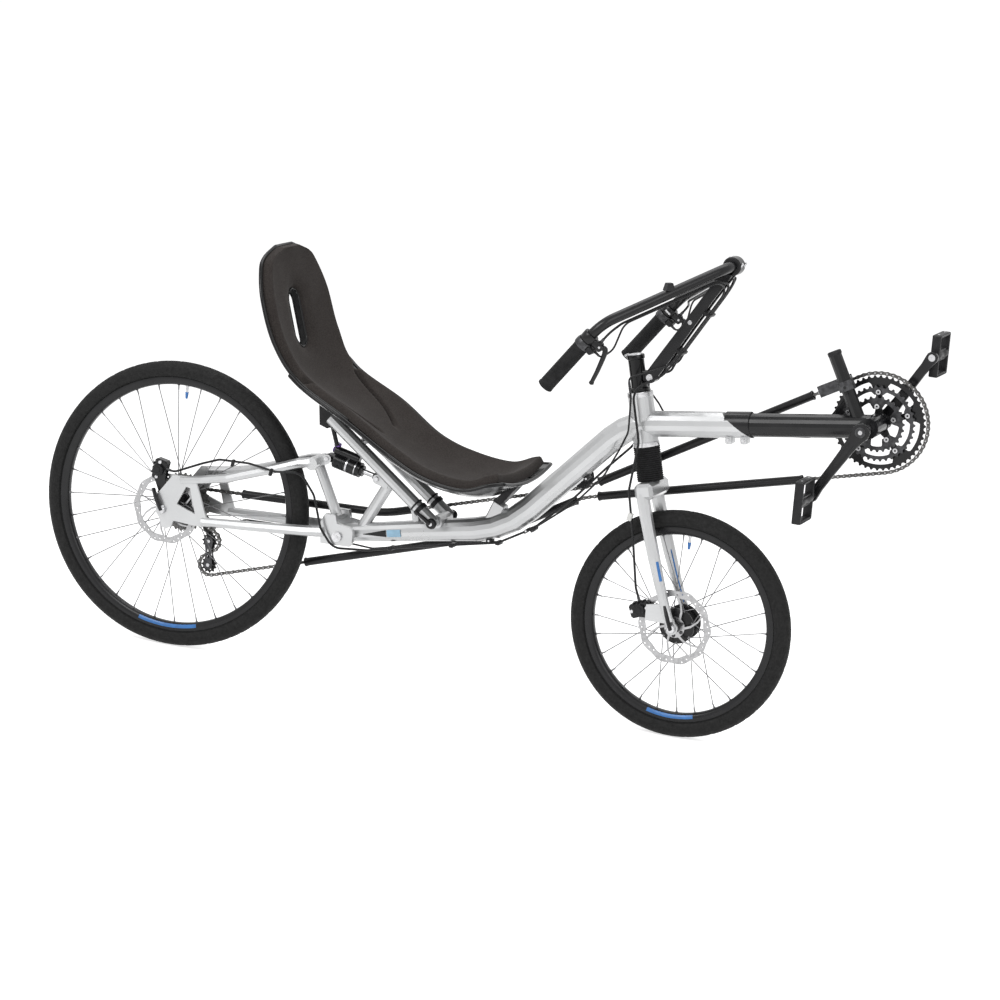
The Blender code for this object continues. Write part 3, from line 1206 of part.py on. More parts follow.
def build_chainrings():
    centre = Matrix.Translation(CRANK_AXLE)
    ys = [CHAINLINE - i * RING_STEP for i in range(3)]
    parts = []
    for y, teeth, inner in zip(ys, (BIG_RING, MIDDLE_RING, SMALL_RING), (0.0590, 0.0575, 0.0300)):
        outline = toothed(teeth, tip_radius(teeth), fine=False)
        parts.append(plate([outline, circle(inner, 20)], RING_T, centre @ upright(y)))
    spider_y = (ys[0] + ys[1]) / 2
    for i in range(5):
        angle = math.tau * (i + 0.5) / 5 + CRANK_ANGLE
        out = Vector((math.cos(angle), 0, math.sin(angle)))
        parts.append(block(CRANK_AXLE + out * 0.042 + Vector((0, spider_y, 0)), (0.052, 0.005, 0.014), -angle))
        for radius, low, high in ((0.0655, ys[1] - 0.0025, ys[0] + 0.0025), (0.0370, ys[2] - 0.0025, spider_y)):
            spot = CRANK_AXLE + out * radius
            parts.append(cross_rod(spot.x, spot.z, low, high, 0.0055, sides=6))
    boss = lathe([(SPINDLE_R + GAP * 2, spider_y - 0.006), (0.021, spider_y - 0.006), (0.021, spider_y + 0.006),
                  (0.016, ARM_Y - ARM_T / 2 - GAP), (SPINDLE_R + GAP * 2, ARM_Y - ARM_T / 2 - GAP)],
                 centre @ ACROSS, 20)
    core = fused(boss, *parts[3:])
    for ring in parts[:3]:
        core = fused(core, ring, solver="MANIFOLD")
    piece("chainrings", core, "dark_steel", "crankset")


def main():
    clear_scene()
    make_bodies()
    build_main_frame()
    build_shock()
    build_boom()
    build_swingarm()
    build_seat_struts()
    build_seat()
    build_seat_brackets()
    build_wheel("rear_wheel", REAR_AXLE, REAR_TYRE_R, REAR_FLANGES, REAR_HALF_OLD, REAR_SPOKES, 3,
                REAR_HUB_R, REAR_FLANGE_R)
    build_wheel("front_wheel", FRONT_AXLE, FRONT_TYRE_R, FRONT_FLANGES, FRONT_HALF_OLD, FRONT_SPOKES, 2,
                FRONT_HUB_R, FRONT_FLANGE_R)
    build_disc("rear_wheel", REAR_AXLE, REAR_HALF_OLD)
    build_disc("front_wheel", FRONT_AXLE, FRONT_HALF_OLD)
    build_cassette()
    build_chain()
    build_idler()
    build_rear_derailleur()
    build_front_derailleur()
    build_caliper("rear_caliper", REAR_AXLE, -(REAR_HALF_OLD - DISC_INSET), (-0.018, 0.404), 0.2,
                  [(-0.030, 0.392), (-0.012, 0.352), (0.004, 0.362), (-0.004, 0.412)], "frame")
    build_caliper("front_caliper", FRONT_AXLE, -(FRONT_HALF_OLD - DISC_INSET), (1.106, 0.270), 1.2,
                  [(1.100, 0.256), (1.144, 0.256), (1.140, 0.284), (1.104, 0.280)], "steering")
    build_fork()
    build_cockpit()
    build_crankset()


main()
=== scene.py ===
"""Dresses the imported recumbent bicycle: finishes, tyres, spokes, chain, cables, seat and small hardware."""
import json
from math import asin, atan2, ceil, cos, exp, hypot, pi, radians, sin, sqrt, tan, tau

import bmesh
import bpy
from mathutils import Matrix, Vector


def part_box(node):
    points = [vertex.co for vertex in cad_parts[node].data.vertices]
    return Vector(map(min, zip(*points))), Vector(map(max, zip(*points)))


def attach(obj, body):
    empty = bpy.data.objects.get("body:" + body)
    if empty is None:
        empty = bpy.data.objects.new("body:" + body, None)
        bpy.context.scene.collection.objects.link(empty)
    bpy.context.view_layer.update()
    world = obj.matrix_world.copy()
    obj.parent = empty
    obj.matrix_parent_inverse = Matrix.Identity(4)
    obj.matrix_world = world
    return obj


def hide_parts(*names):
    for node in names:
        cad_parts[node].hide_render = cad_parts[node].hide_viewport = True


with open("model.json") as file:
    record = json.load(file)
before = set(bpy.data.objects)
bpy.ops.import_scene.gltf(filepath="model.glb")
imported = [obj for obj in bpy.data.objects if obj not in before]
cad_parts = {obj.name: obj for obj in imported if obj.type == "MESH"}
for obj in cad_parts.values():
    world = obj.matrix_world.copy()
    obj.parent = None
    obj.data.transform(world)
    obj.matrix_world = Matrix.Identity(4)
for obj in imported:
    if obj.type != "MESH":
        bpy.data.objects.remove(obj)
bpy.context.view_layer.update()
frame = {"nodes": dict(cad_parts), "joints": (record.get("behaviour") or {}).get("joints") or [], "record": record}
NODES = frame["nodes"]
RECORD = frame["record"]


def middle(node):
    low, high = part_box(node)
    return (Vector(low) + Vector(high)) / 2


# The bicycle's own places, read from the frame
REAR_AXLE = middle("rear_wheel_axle")
FRONT_AXLE = middle("front_wheel_axle")
REAR_TYRE_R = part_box("rear_wheel_tyre")[1][0] - REAR_AXLE.x
FRONT_TYRE_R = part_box("front_wheel_tyre")[1][0] - FRONT_AXLE.x
FLOOR_Z = FRONT_AXLE.z - FRONT_TYRE_R
CRANK_AXLE = middle("crank_spindle")
CRANK_AXLE.y = 0.0
STEERING = next(joint for joint in frame["joints"] if joint["name"] == "steering")
STEER_DIR = Vector(STEERING["axis"]).normalized()
# Sizes in metres that repeat the solids'
TYRE_H = 0.04
TYRE_W = 0.04
RIM_W = 0.025
CHAIN_PITCH = 0.0127
TOOTH_RISE = 0.0014
CRANK_ANGLE = radians(58.5)
CRANK_LENGTH = 0.168
CHAINLINE = 0.052
HEAD_LENGTH = 0.115
HEAD_TOP = Vector(STEERING["pos_m"]) + STEER_DIR * HEAD_LENGTH
BOOM_SLOPE = radians(7.5)
ACROSS = Matrix.Rotation(-pi / 2, 4, "X")
WORLD_LIGHT = 0.42
FLOOR_GLOW = 0.66


# Places and steps
def at(x, z, y=0.0):
    """A place given from the floor under the rear axle: forward, up, and to the far side."""
    return Vector((REAR_AXLE.x + x, y, FLOOR_Z + z))


def over(y):
    """A step across the bicycle, toward the far side."""
    return Vector((0.0, y, 0.0))


def ray(angle, r=1.0):
    """A step of r out from an axle, at an angle up from straight ahead."""
    return Vector((r * cos(angle), 0.0, r * sin(angle)))


def lerp(a, b, t):
    return a + (b - a) * t


def pitch_of(run):
    """The turn about the across axis that lays a block along a run."""
    return -atan2(run.z, run.x)


def frame_of(direction):
    """Rotation whose Z axis is the direction."""
    z = direction.normalized()
    x = over(1.0).cross(z)
    if x.length < 1e-6:
        x = Vector((1.0, 0.0, 0.0)).cross(z)
    x.normalize()
    return Matrix((x, z.cross(x), z)).transposed().to_4x4()


def seated(spot, direction=None):
    """A place with its Z axis along the direction, or across the bicycle."""
    return Matrix.Translation(spot) @ (ACROSS if direction is None else frame_of(direction))


# Mesh helpers
def add_verts(bm, points):
    return [bm.verts.new(point) for point in points]


def skin(bm, rows, closed=True):
    """Quads between neighbouring rows of vertices. closed joins each row's end to its start."""
    for a, b in zip(rows, rows[1:]):
        for k in range(len(a) if closed else len(a) - 1):
            m = (k + 1) % len(a)
            bm.faces.new((a[k], b[k], b[m], a[m]))


def prism(bm, low, high):
    """A closed solid between two outlines."""
    rows = [add_verts(bm, low), add_verts(bm, high)]
    skin(bm, rows)
    for row in rows:
        bm.faces.new(row)


def add_lathe(bm, profile, place, steps=48, closed=True, wave=None):
    """Turns (radius, height) points round the place's Z axis. wave(i, k) moves a point outward."""
    rings = []
    for i in range(steps):
        angle = tau * i / steps
        sizes = [(radius + (wave(i, k) if wave else 0.0), height) for k, (radius, height) in enumerate(profile)]
        rings.append(add_verts(bm, [place @ Vector((r * cos(angle), r * sin(angle), z)) for r, z in sizes]))
    skin(bm, rings + rings[:1], closed)
    if not closed:
        bm.faces.new([ring[0] for ring in reversed(rings)])
        bm.faces.new([ring[-1] for ring in rings])


def add_rod(bm, start, end, radius, last=None, sides=16, ease=0.0):
    """A round bar with flat ends, their rims eased off by a small chamfer. last is its radius at the end."""
    length = (end - start).length
    last = radius if last is None else last
    profile = [(radius, 0.0), (last, length)]
    if ease:
        profile = [(radius - ease, 0.0), (radius, ease), (last, length - ease), (last - ease, length)]
    add_lathe(bm, profile, seated(start, end - start), sides, closed=False)


def add_pin(bm, spot, y0, y1, *sizes, **options):
    """A round bar across the bicycle, between two steps from a spot."""
    add_rod(bm, spot + over(y0), spot + over(y1), *sizes, **options)


def sweep(bm, path, radii, sides, side=None, closed=False, flat=1.0):
    """Rings of vertices round a path, carried along it from the first side. flat squeezes them across."""
    before, after = (path[-1:], path[:1]) if closed else (path[:1], path[-1:])
    padded = before + path + after
    runs = [(b - a).normalized() for a, b in zip(padded, padded[2:])]
    if side is None:
        side = runs[0].cross(over(1.0))
        if side.length < 0.1:
            side = runs[0].cross(Vector((1.0, 0.0, 0.0)))
    rings = []
    for point, run, r in zip(path, runs, radii):
        side = (side - run * side.dot(run)).normalized()
        other = run.cross(side) * flat
        rings.append(add_verts(bm, [point + (side * cos(tau * k / sides) + other * sin(tau * k / sides)) * r
                                    for k in range(sides)]))
    return rings


def add_tube(bm, path, radius, sides=12, radii=None, closed=False, flat=1.0):
    """A swept round bar through the points. radii are shares of its radius."""
    rings = sweep(bm, path, [radius * share for share in radii or [1.0] * len(path)], sides, None, closed, flat)
    skin(bm, rings + (rings[:1] if closed else []))
    if not closed:
        bm.faces.new(list(reversed(rings[0])))
        bm.faces.new(rings[-1])


def add_block(bm, centre, size, turn=0.0, bevel=0.0):
    """A box turned about the across axis, its edges rounded."""
    part = bmesh.new()
    bmesh.ops.create_cube(part, size=1.0)
    bmesh.ops.scale(part, vec=size, verts=part.verts)
    if bevel:
        bmesh.ops.bevel(part, geom=part.edges[:], offset=bevel, segments=3, profile=0.5, affect="EDGES")
    part.transform(Matrix.Translation(centre) @ Matrix.Rotation(turn, 4, "Y"))
    merge(bm, part)


def merge(bm, part):
    """Adds another bmesh's faces, and frees it."""
    lookup = {vert: bm.verts.new(vert.co) for vert in part.verts}
    for face in part.faces:
        bm.faces.new([lookup[vert] for vert in face.verts])
    part.free()


def add_plate(bm, outline, holes, y, thickness, bevel=0.0):
    """An upright sheet with the outline and holes of the points given, at a place across the bicycle."""
    part = bmesh.new()
    edges = []
    for loop in [outline] + holes:
        verts = add_verts(part, [(p.x, y - thickness / 2, p.z) for p in loop])
        edges += [part.edges.new(pair) for pair in zip(verts, verts[1:] + verts[:1])]
    bmesh.ops.triangle_fill(part, use_beauty=True, edges=edges)
    grown = bmesh.ops.extrude_face_region(part, geom=part.faces[:])
    moved = [item for item in grown["geom"] if isinstance(item, bmesh.types.BMVert)]
    bmesh.ops.translate(part, vec=over(thickness), verts=moved)
    bmesh.ops.recalc_face_normals(part, faces=part.faces[:])
    if bevel:
        rim = [edge for edge in part.edges if edge.is_manifold and edge.calc_face_angle(0.0) > 1.2]
        bmesh.ops.bevel(part, geom=rim, offset=bevel, segments=1, affect="EDGES")
    merge(bm, part)


def mirrored_outline(origin, along, across, rows):
    """An outline from (forward, half width) rows on both sides of a line, first the +across side."""
    return ([origin + along * r + across * h for r, h in rows]
            + [origin + along * r - across * h for r, h in reversed(rows) if h])


def circle(centre, radius, count, start=0.0):
    return [centre + ray(start + tau * i / count, radius) for i in range(count)]


def rounded_path(corners, radii, step=0.12):
    """Straight runs joined by arcs, one bend radius for each inner corner."""
    path = [corners[0]]
    for before, corner, after, radius in zip(corners, corners[1:], corners[2:], radii):
        back = (before - corner).normalized()
        ahead = (after - corner).normalized()
        half = back.angle(ahead) / 2
        centre = corner + (back + ahead).normalized() * (radius / sin(half))
        first = corner + back * radius / tan(half) - centre
        last = corner + ahead * radius / tan(half) - centre
        turn = first.angle(last)
        count = max(2, round(turn / step))
        for i in range(count + 1):
            t = i / count
            path.append(centre + (first * sin((1 - t) * turn) + last * sin(t * turn)) / sin(turn))
    path.append(corners[-1])
    return path


def spline(a, b, c, d, t):
    """A Catmull-Rom curve between b and c."""
    return 0.5 * (2 * b + (c - a) * t + (2 * a - 5 * b + 4 * c - d) * t * t + (3 * b - a - 3 * c + d) * t ** 3)


def smooth_path(points, pieces):
    """A smooth curve through given points."""
    padded = [points[0] * 2 - points[1]] + points + [points[-1] * 2 - points[-2]]
    return [spline(*four, i / pieces) for four in zip(padded, padded[1:], padded[2:], padded[3:])
            for i in range(pieces)] + [points[-1]]


def new_thing(name, bm):
    """An object in the scene with the bmesh's faces."""
    mesh = bpy.data.meshes.new(name)
    bm.to_mesh(mesh)
    bm.free()
    thing = bpy.data.objects.new(name, mesh)
    bpy.context.scene.collection.objects.link(thing)
    return thing


def soft_edges(mesh, degrees):
    mesh.shade_smooth()
    mesh.set_sharp_from_angle(angle=radians(degrees))


def piece(name, bm, material, body, nodes=(), sharp=40.0, bevel=0.0):
    """Finishes a mesh as a named piece of the bicycle."""
    bmesh.ops.recalc_face_normals(bm, faces=bm.faces[:])
    thing = new_thing(name, bm)
    thing.data.materials.append(MATERIALS[material])
    if bevel:
        soften = thing.modifiers.new("soften", "BEVEL")
        soften.width = bevel
        soften.segments = 2
        soften.limit_method = "ANGLE"
        soften.angle_limit = radians(40)
        soften.harden_normals = True
    soft_edges(thing.data, sharp)
    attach(thing, body)
    if nodes:
        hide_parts(*nodes)
    return thing


# Camera fitted to the photo
CAMERA_TARGET = at(0.758, 0.443)
CAMERA_TURN = radians(20.6)
CAMERA_HEIGHT = radians(11.64)
CAMERA_ROLL = radians(4.8)
CAMERA_DISTANCE = 7.19
SENSOR = 36.0
FOCAL_PIXELS = 3386.0
PHOTO_PIXELS = 1000.0


def make_camera():
    back = Vector((sin(CAMERA_TURN) * cos(CAMERA_HEIGHT), -cos(CAMERA_TURN) * cos(CAMERA_HEIGHT), sin(CAMERA_HEIGHT)))
    level = Vector((cos(CAMERA_TURN), sin(CAMERA_TURN), 0.0))
    upright = back.cross(level)
    right = level * cos(CAMERA_ROLL) + upright * sin(CAMERA_ROLL)
    up = upright * cos(CAMERA_ROLL) - level * sin(CAMERA_ROLL)
    data = bpy.data.cameras.new("camera")
    data.sensor_width = SENSOR
    data.lens = FOCAL_PIXELS * SENSOR / PHOTO_PIXELS
    data.clip_end = 100.0
    camera = bpy.data.objects.new("camera", data)
    place = Matrix((right, up, back)).transposed().to_4x4()
    place.translation = CAMERA_TARGET + back * CAMERA_DISTANCE
    camera.matrix_world = place
    bpy.context.scene.collection.objects.link(camera)
    bpy.context.scene.camera = camera


def make_lamp(name, place, size, power):
    data = bpy.data.lights.new(name, "AREA")
    data.shape = "RECTANGLE"
    data.size, data.size_y = size
    data.energy = power
    lamp = bpy.data.objects.new(name, data)
    lamp.location = place
    lamp.rotation_mode = "QUATERNION"
    lamp.rotation_quaternion = (at(0.75, 0.4) - place).to_track_quat("-Z", "Y")
    bpy.context.scene.collection.objects.link(lamp)


# Shader nodes
def add_node(tree, kind, inputs):
    """A shader node with its inputs set, or linked where a socket is given."""
    node = tree.nodes.new("ShaderNode" + kind)
    for key, value in inputs.items():
        if isinstance(value, bpy.types.NodeSocket):
            tree.links.new(value, node.inputs[key])
        else:
            node.inputs[key].default_value = value
    return node


def seen_straight(tree):
    """1 for a ray from the camera, or one that metal or glass sends on."""
    rays = tree.nodes.new("ShaderNodeLightPath").outputs
    seen = rays["Is Camera Ray"]
    for kind in ("Is Transmission Ray", "Is Glossy Ray"):
        either = add_node(tree, "Math", {0: seen, 1: rays[kind]})
        either.operation = "MAXIMUM"
        seen = either.outputs[0]
    return seen


def make_world():
    """Soft even light, and plain white where the camera, metal or glass looks past the bicycle."""
    world = bpy.data.worlds.new("studio")
    bpy.context.scene.world = world
    world.use_nodes = True
    tree = world.node_tree
    tree.nodes.clear()
    soft, white = [add_node(tree, "Background", {"Color": (1.0, 1.0, 1.0, 1.0), "Strength": strength}).outputs[0]
                   for strength in (WORLD_LIGHT, 1.0)]
    mix = add_node(tree, "MixShader", {0: seen_straight(tree), 1: soft, 2: white})
    add_node(tree, "OutputWorld", {0: mix.outputs[0]})


def make_floor():
    """White paper that keeps the bicycle's shadow."""
    bm = bmesh.new()
    bmesh.ops.create_grid(bm, x_segments=2, y_segments=2, size=60.0)
    floor = new_thing("floor", bm)
    floor.location = (0.0, 0.0, FLOOR_Z - 0.0005)
    material = new_material("floor_paper", (0.9, 0.9, 0.9), 0.9, specular=0.0)
    tree = material.node_tree
    paper = tree.nodes["Principled BSDF"].outputs[0]
    glow = add_node(tree, "Emission", {"Strength": FLOOR_GLOW}).outputs[0]
    both = add_node(tree, "AddShader", {0: paper, 1: glow}).outputs[0]
    mix = add_node(tree, "MixShader", {0: seen_straight(tree), 1: paper, 2: both})
    tree.links.new(mix.outputs[0], tree.nodes["Material Output"].inputs["Surface"])
    floor.data.materials.append(material)


# Materials
def new_material(name, color, roughness, metallic=0.0, coat=0.0, specular=0.5, sheen=0.0):
    material = bpy.data.materials.new(name)
    material.use_nodes = True
    inputs = material.node_tree.nodes["Principled BSDF"].inputs
    for key, value in (("Base Color", (*color, 1.0)), ("Roughness", roughness), ("Metallic", metallic),
                       ("Coat Weight", coat), ("Coat Roughness", 0.08), ("Specular IOR Level", specular),
                       ("Sheen Weight", sheen)):
        inputs[key].default_value = value
    return material


def texture(tree, kind, scale, **values):
    """A procedural texture in the object's own coordinates."""
    place = tree.nodes.new("ShaderNodeTexCoord").outputs["Object"]
    return add_node(tree, kind, {"Vector": place, "Scale": scale, **values}).outputs[0]


def vary(material, color, shades, gloss, roughs, grain, bump, depth):
    """Patchy colour and gloss and a fine grain, each from a texture of its own."""
    tree = material.node_tree
    ramp = add_node(tree, "ValToRGB", {0: color})
    for stop, place, shade in zip(ramp.color_ramp.elements, (0.35, 0.65), shades):
        stop.position = place
        stop.color = (*shade, 1.0)
    spread = add_node(tree, "MapRange", {"Value": gloss, "From Min": 0.3, "From Max": 0.7,
                                         "To Min": roughs[0], "To Max": roughs[1]})
    relief = add_node(tree, "Bump", {"Height": grain, "Strength": bump, "Distance": depth})
    for node, key in ((ramp, "Base Color"), (spread, "Roughness"), (relief, "Normal")):
        tree.links.new(node.outputs[0], tree.nodes["Principled BSDF"].inputs[key])


def finish_of(name, color, roughness, spread, grain, bump, patches, wear, depth=0.0002, **look):
    """A finish with patchy colour and gloss and a fine grain. spread is the colour's share either way."""
    material = new_material(name, color, roughness, **look)
    tree = material.node_tree
    shades = [[c * (1 - spread) for c in color], [min(1.0, c * (1 + spread)) for c in color]]
    vary(material, texture(tree, "TexNoise", patches, Detail=4.0), shades,
         texture(tree, "TexNoise", patches * 0.45, Detail=4.0), (roughness - wear, roughness + wear),
         texture(tree, "TexNoise", grain, Detail=3.0), bump, depth)
    return material


def make_foam():
    """Closed-cell foam: soft brown-grey with an open grain."""
    foam = new_material("seat_foam", (0.034, 0.029, 0.027), 0.85, specular=0.15, sheen=0.04)
    tree = foam.node_tree
    vary(foam, texture(tree, "TexNoise", 420.0, Detail=6.0), ((0.024, 0.02, 0.0185), (0.044, 0.038, 0.035)),
         texture(tree, "TexNoise", 20.0, Detail=4.0), (0.78, 0.92), texture(tree, "TexVoronoi", 700.0), 0.35, 0.0005)
    return foam


FINISHES = (
    # name, colour, roughness, colour spread, grain, bump, patches, wear, and what sets it apart
    ("silver_paint", (0.51, 0.515, 0.52), 0.3, 0.03, 900, 0.05, 16, 0.05, {"metallic": 0.7, "coat": 0.4}),
    ("black_paint", (0.01, 0.01, 0.011), 0.24, 0.25, 500, 0.04, 40, 0.06, {"specular": 0.3}),
    ("black_plastic", (0.013, 0.013, 0.014), 0.45, 0.3, 1400, 0.12, 90, 0.1, {"specular": 0.25}),
    ("black_rubber", (0.012, 0.012, 0.0125), 0.7, 0.3, 1100, 0.18, 120, 0.12, {"specular": 0.2, "depth": 0.0003}),
    ("tyre_rubber", (0.012, 0.012, 0.012), 0.66, 0.3, 1200, 0.15, 240, 0.12, {"specular": 0.2}),
    ("rim_black", (0.008, 0.008, 0.009), 0.28, 0.2, 700, 0.04, 60, 0.06, {"specular": 0.3}),
    ("bright_steel", (0.52, 0.52, 0.53), 0.27, 0.12, 600, 0.05, 120, 0.08, {"metallic": 1.0}),
    ("spoke_steel", (0.17, 0.17, 0.175), 0.34, 0.15, 600, 0.05, 90, 0.08, {"metallic": 0.9}),
    ("disc_steel", (0.36, 0.36, 0.365), 0.3, 0.12, 600, 0.06, 150, 0.08, {"metallic": 1.0}),
    ("dark_steel", (0.06, 0.06, 0.063), 0.36, 0.35, 600, 0.08, 110, 0.1, {"metallic": 0.8}),
    ("chain_steel", (0.105, 0.103, 0.1), 0.36, 0.4, 900, 0.06, 260, 0.1, {"metallic": 0.9}),
    ("shell_gloss", (0.005, 0.005, 0.0055), 0.15, 0.3, 90, 0.05, 30, 0.04, {"specular": 0.27, "depth": 0.0003}),
    ("decal_blue", (0.03, 0.17, 0.48), 0.35, 0.15, 500, 0.03, 50, 0.06, {"coat": 0.2}),
    ("decal_pale", (0.3, 0.5, 0.66), 0.35, 0.08, 500, 0.03, 50, 0.06, {"coat": 0.2}),
    ("knob_purple", (0.1, 0.045, 0.22), 0.3, 0.2, 500, 0.03, 60, 0.05, {"metallic": 0.6}),
    ("hose_black", (0.01, 0.01, 0.011), 0.36, 0.2, 800, 0.05, 80, 0.05, {"specular": 0.25}),
    ("clip_white", (0.72, 0.72, 0.7), 0.45, 0.05, 700, 0.05, 60, 0.06, {}),
)
MATERIALS = {row[0]: finish_of(*row[:-1], **row[-1]) for row in FINISHES}
MATERIALS["seat_foam"] = make_foam()


def dress_nodes():
    for part in RECORD["subparts"]:
        slots = NODES[part["node"]].data.materials
        slots.clear()
        slots.append(MATERIALS[part["material_slot"]])


# Wheels
def tyre_profile(outer_r):
    """Bead, sidewall with a moulded line, and round tread, from one bead to the other."""
    seat_r = outer_r - TYRE_H
    centre = outer_r - TYRE_W / 2
    beads = ((0.0003, -RIM_W / 2 + 0.003), (0.0063, -RIM_W / 2 + 0.0006))
    points = [(seat_r + rise, y) for rise, y in beads]
    for degrees in range(-125, 126, 5):
        angle = radians(degrees)
        r = TYRE_W / 2 + (0.0004 if abs(degrees) == 95 else 0.0)
        points.append((centre + r * cos(angle), r * sin(angle)))
    return points + [(seat_r + rise, -y) for rise, y in reversed(beads)]


def tread_wave(count, depth):
    """Fine blocks in staggered rows, with a closed band at the middle."""
    def wave(i, k):
        across = abs(k - (count - 1) / 2)
        if across > 12:
            return 0.0
        if across <= 2:
            return 0.0 if i % 6 else -depth * 0.6
        row = int(across - 3) // 2
        return -depth if (across - 3) % 2 >= 1.5 or (i + row * 2) % 4 == 0 else 0.0
    return wave


def build_tyre(body, axle, outer_r, steps):
    bm = bmesh.new()
    profile = tyre_profile(outer_r)
    add_lathe(bm, profile, seated(axle), steps, wave=tread_wave(len(profile), 0.0012))
    piece(f"{body}_tyre_tread", bm, "tyre_rubber", body, [f"{body}_tyre"], sharp=28)


def build_rim(body, axle, seat_r, spokes, valve_angle):
    half = RIM_W / 2
    far = [(-0.012, half * 0.2), (-0.0115, half * 0.45), (-0.0095, half * 0.72), (-0.006, half - 0.0008),
           (-0.001, half), (0.0046, half + 0.0003), (0.0058, half), (0.005, half - 0.0016), (0.0, half - 0.0025)]
    profile = [(seat_r + r, y) for r, y in far] + [(seat_r + r, -y) for r, y in reversed(far)]
    bm = bmesh.new()
    add_lathe(bm, profile, seated(axle), 160)
    piece(f"{body}_rim_hoop", bm, "rim_black", body, [f"{body}_rim"])

    def inward(bm, foot, out, r0, r1, *sizes, **options):
        add_rod(bm, foot + out * (seat_r - r0), foot + out * (seat_r - r1), *sizes, **options)

    # Eyelets and nipples round the spoke holes
    bm = bmesh.new()
    for i in range(spokes):
        out = ray(tau * (i + 0.25) / spokes)
        foot = axle + over((i % 2 * 2 - 1) * 0.003)
        inward(bm, foot, out, 0.0118, 0.013, 0.003, sides=10, ease=0.0004)
        inward(bm, foot, out, 0.0125, 0.023, 0.0019, 0.0014, 8)
    piece(f"{body}_nipples", bm, "spoke_steel", body)
    # Coloured bands at the bottom of both faces
    bm = bmesh.new()
    band = ((0.001, half + 0.0003), (0.006, half - 0.0005), (0.009, half * 0.75))
    for side in (-1, 1):
        outs = [ray(radians(-90 + lerp(-15, 15, i / 24))) for i in range(25)]
        skin(bm, [add_verts(bm, [axle + out * (seat_r - r) + over(side * y) for r, y in band]) for out in outs], False)
    piece(f"{body}_rim_bands", bm, "decal_blue", body)
    out = ray(valve_angle)
    bm = bmesh.new()
    inward(bm, axle, out, 0.011, 0.014, 0.0048, sides=12, ease=0.0006)
    inward(bm, axle, out, 0.012, 0.028, 0.003, sides=12)
    piece(f"{body}_valve_stem", bm, "bright_steel", body)
    bm = bmesh.new()
    inward(bm, axle, out, 0.026, 0.041, 0.004, 0.0026, 12, ease=0.0008)
    piece(f"{body}_valve_cap", bm, "decal_blue", body)


def build_spokes(body, axle, seat_r, spokes, crosses, flanges, flange_r):
    bm = bmesh.new()
    for i in range(spokes):
        side = i % 2
        lean = 1 if i // 2 % 2 else -1
        rim_angle = tau * (i + 0.25) / spokes
        hub_angle = rim_angle + lean * crosses * tau / spokes * 1.6
        hub = axle + ray(hub_angle, flange_r - 0.003) + over(flanges[side])
        start = hub + over(lean * 0.002)
        end = axle + ray(rim_angle, seat_r - 0.02) + over((side * 2 - 1) * 0.003)
        run = (end - start).normalized()
        add_rod(bm, start - run * 0.001, start + run * 0.008, 0.00125, 0.00105, 8)
        add_rod(bm, start + run * 0.006, end, 0.001, sides=8)
        add_rod(bm, hub - over(lean * 0.0024), start, 0.0017, 0.0012, 8)
    piece(f"{body}_spokes", bm, "spoke_steel", body)


def build_hub(body, axle, end, flanges, body_r, flange_r):
    rows = [(body_r * 0.9, -0.003), (flange_r - 0.001, -0.0016), (flange_r, -0.0008), (flange_r, 0.0008),
            (flange_r - 0.001, 0.0016), (body_r + 0.001, 0.0022), (body_r * 0.94, 0.007)]
    near, far = flanges
    bm = bmesh.new()
    add_lathe(bm, [(0.0058, -end), (0.0098, -end), (0.0108, -end + 0.001), (0.011, near - 0.0075)]
              + [(r, near + y) for r, y in rows] + [(body_r * 0.94 * 0.97, (near + far) / 2)]
              + [(r, far - y) for r, y in reversed(rows)]
              + [(0.011, far + 0.0045), (0.0108, end - 0.001), (0.0098, end), (0.0058, end)], seated(axle), 56)
    piece(f"{body}_hub", bm, "black_paint", body, [f"{body}_hub_and_spokes"], sharp=35)


def build_disc(body, axle, y):
    """A thin brake disc with a waved edge, drilled slots and slanted arms."""
    def waved(radius, swing, count, turn=0.0):
        return [axle + ray(tau * i / count, radius + swing * cos(10 * tau * i / count + turn)) for i in range(count)]

    holes = [circle(axle + ray(tau * i / 10 + shift, r), 0.0019, 8) for i in range(10)
             for r, shift in ((0.0755, 0.0), (0.0722, 0.16), (0.069, 0.32))]
    bm = bmesh.new()
    add_plate(bm, waved(0.0784, 0.0016, 160), [waved(0.0644, 0.0014, 100, 1.6)] + holes, y, 0.0018)
    piece(f"{body}_disc_band", bm, "disc_steel", body, [f"{body}_disc"])
    bm = bmesh.new()
    for i in range(6):
        outline = []
        for sign, t in [(1, t) for t in (0.0, 0.35, 0.7, 1.0)] + [(-1, t) for t in (1.0, 0.7, 0.35, 0.0)]:
            r = lerp(0.02, 0.0655, t)
            outline.append(axle + ray(tau * i / 6 + 0.5 * t + sign * (0.0026 - 0.0008 * t) / r, r))
        add_plate(bm, outline, [], y, 0.0017)
    add_plate(bm, circle(axle, 0.0225, 36), [circle(axle, 0.0118, 24)], y, 0.0022)
    piece(f"{body}_disc_carrier", bm, "disc_steel", body)
    bm = bmesh.new()
    for i in range(6):
        add_pin(bm, axle + ray(tau * (i + 0.5) / 6, 0.018), y - 0.0011, y - 0.0036, 0.0036, sides=14, ease=0.0006)
    piece(f"{body}_disc_bolts", bm, "dark_steel", body)


WHEELS = (
    # body, axle, tyre radius, tread steps, spokes, crosses, flanges, hub and flange radii, half width
    ("rear_wheel", REAR_AXLE, REAR_TYRE_R, 420, 32, 3, (-0.03, 0.02), 0.015, 0.026, 0.0675),
    ("front_wheel", FRONT_AXLE, FRONT_TYRE_R, 320, 28, 2, (-0.02, 0.026), 0.028, 0.038, 0.05),
)


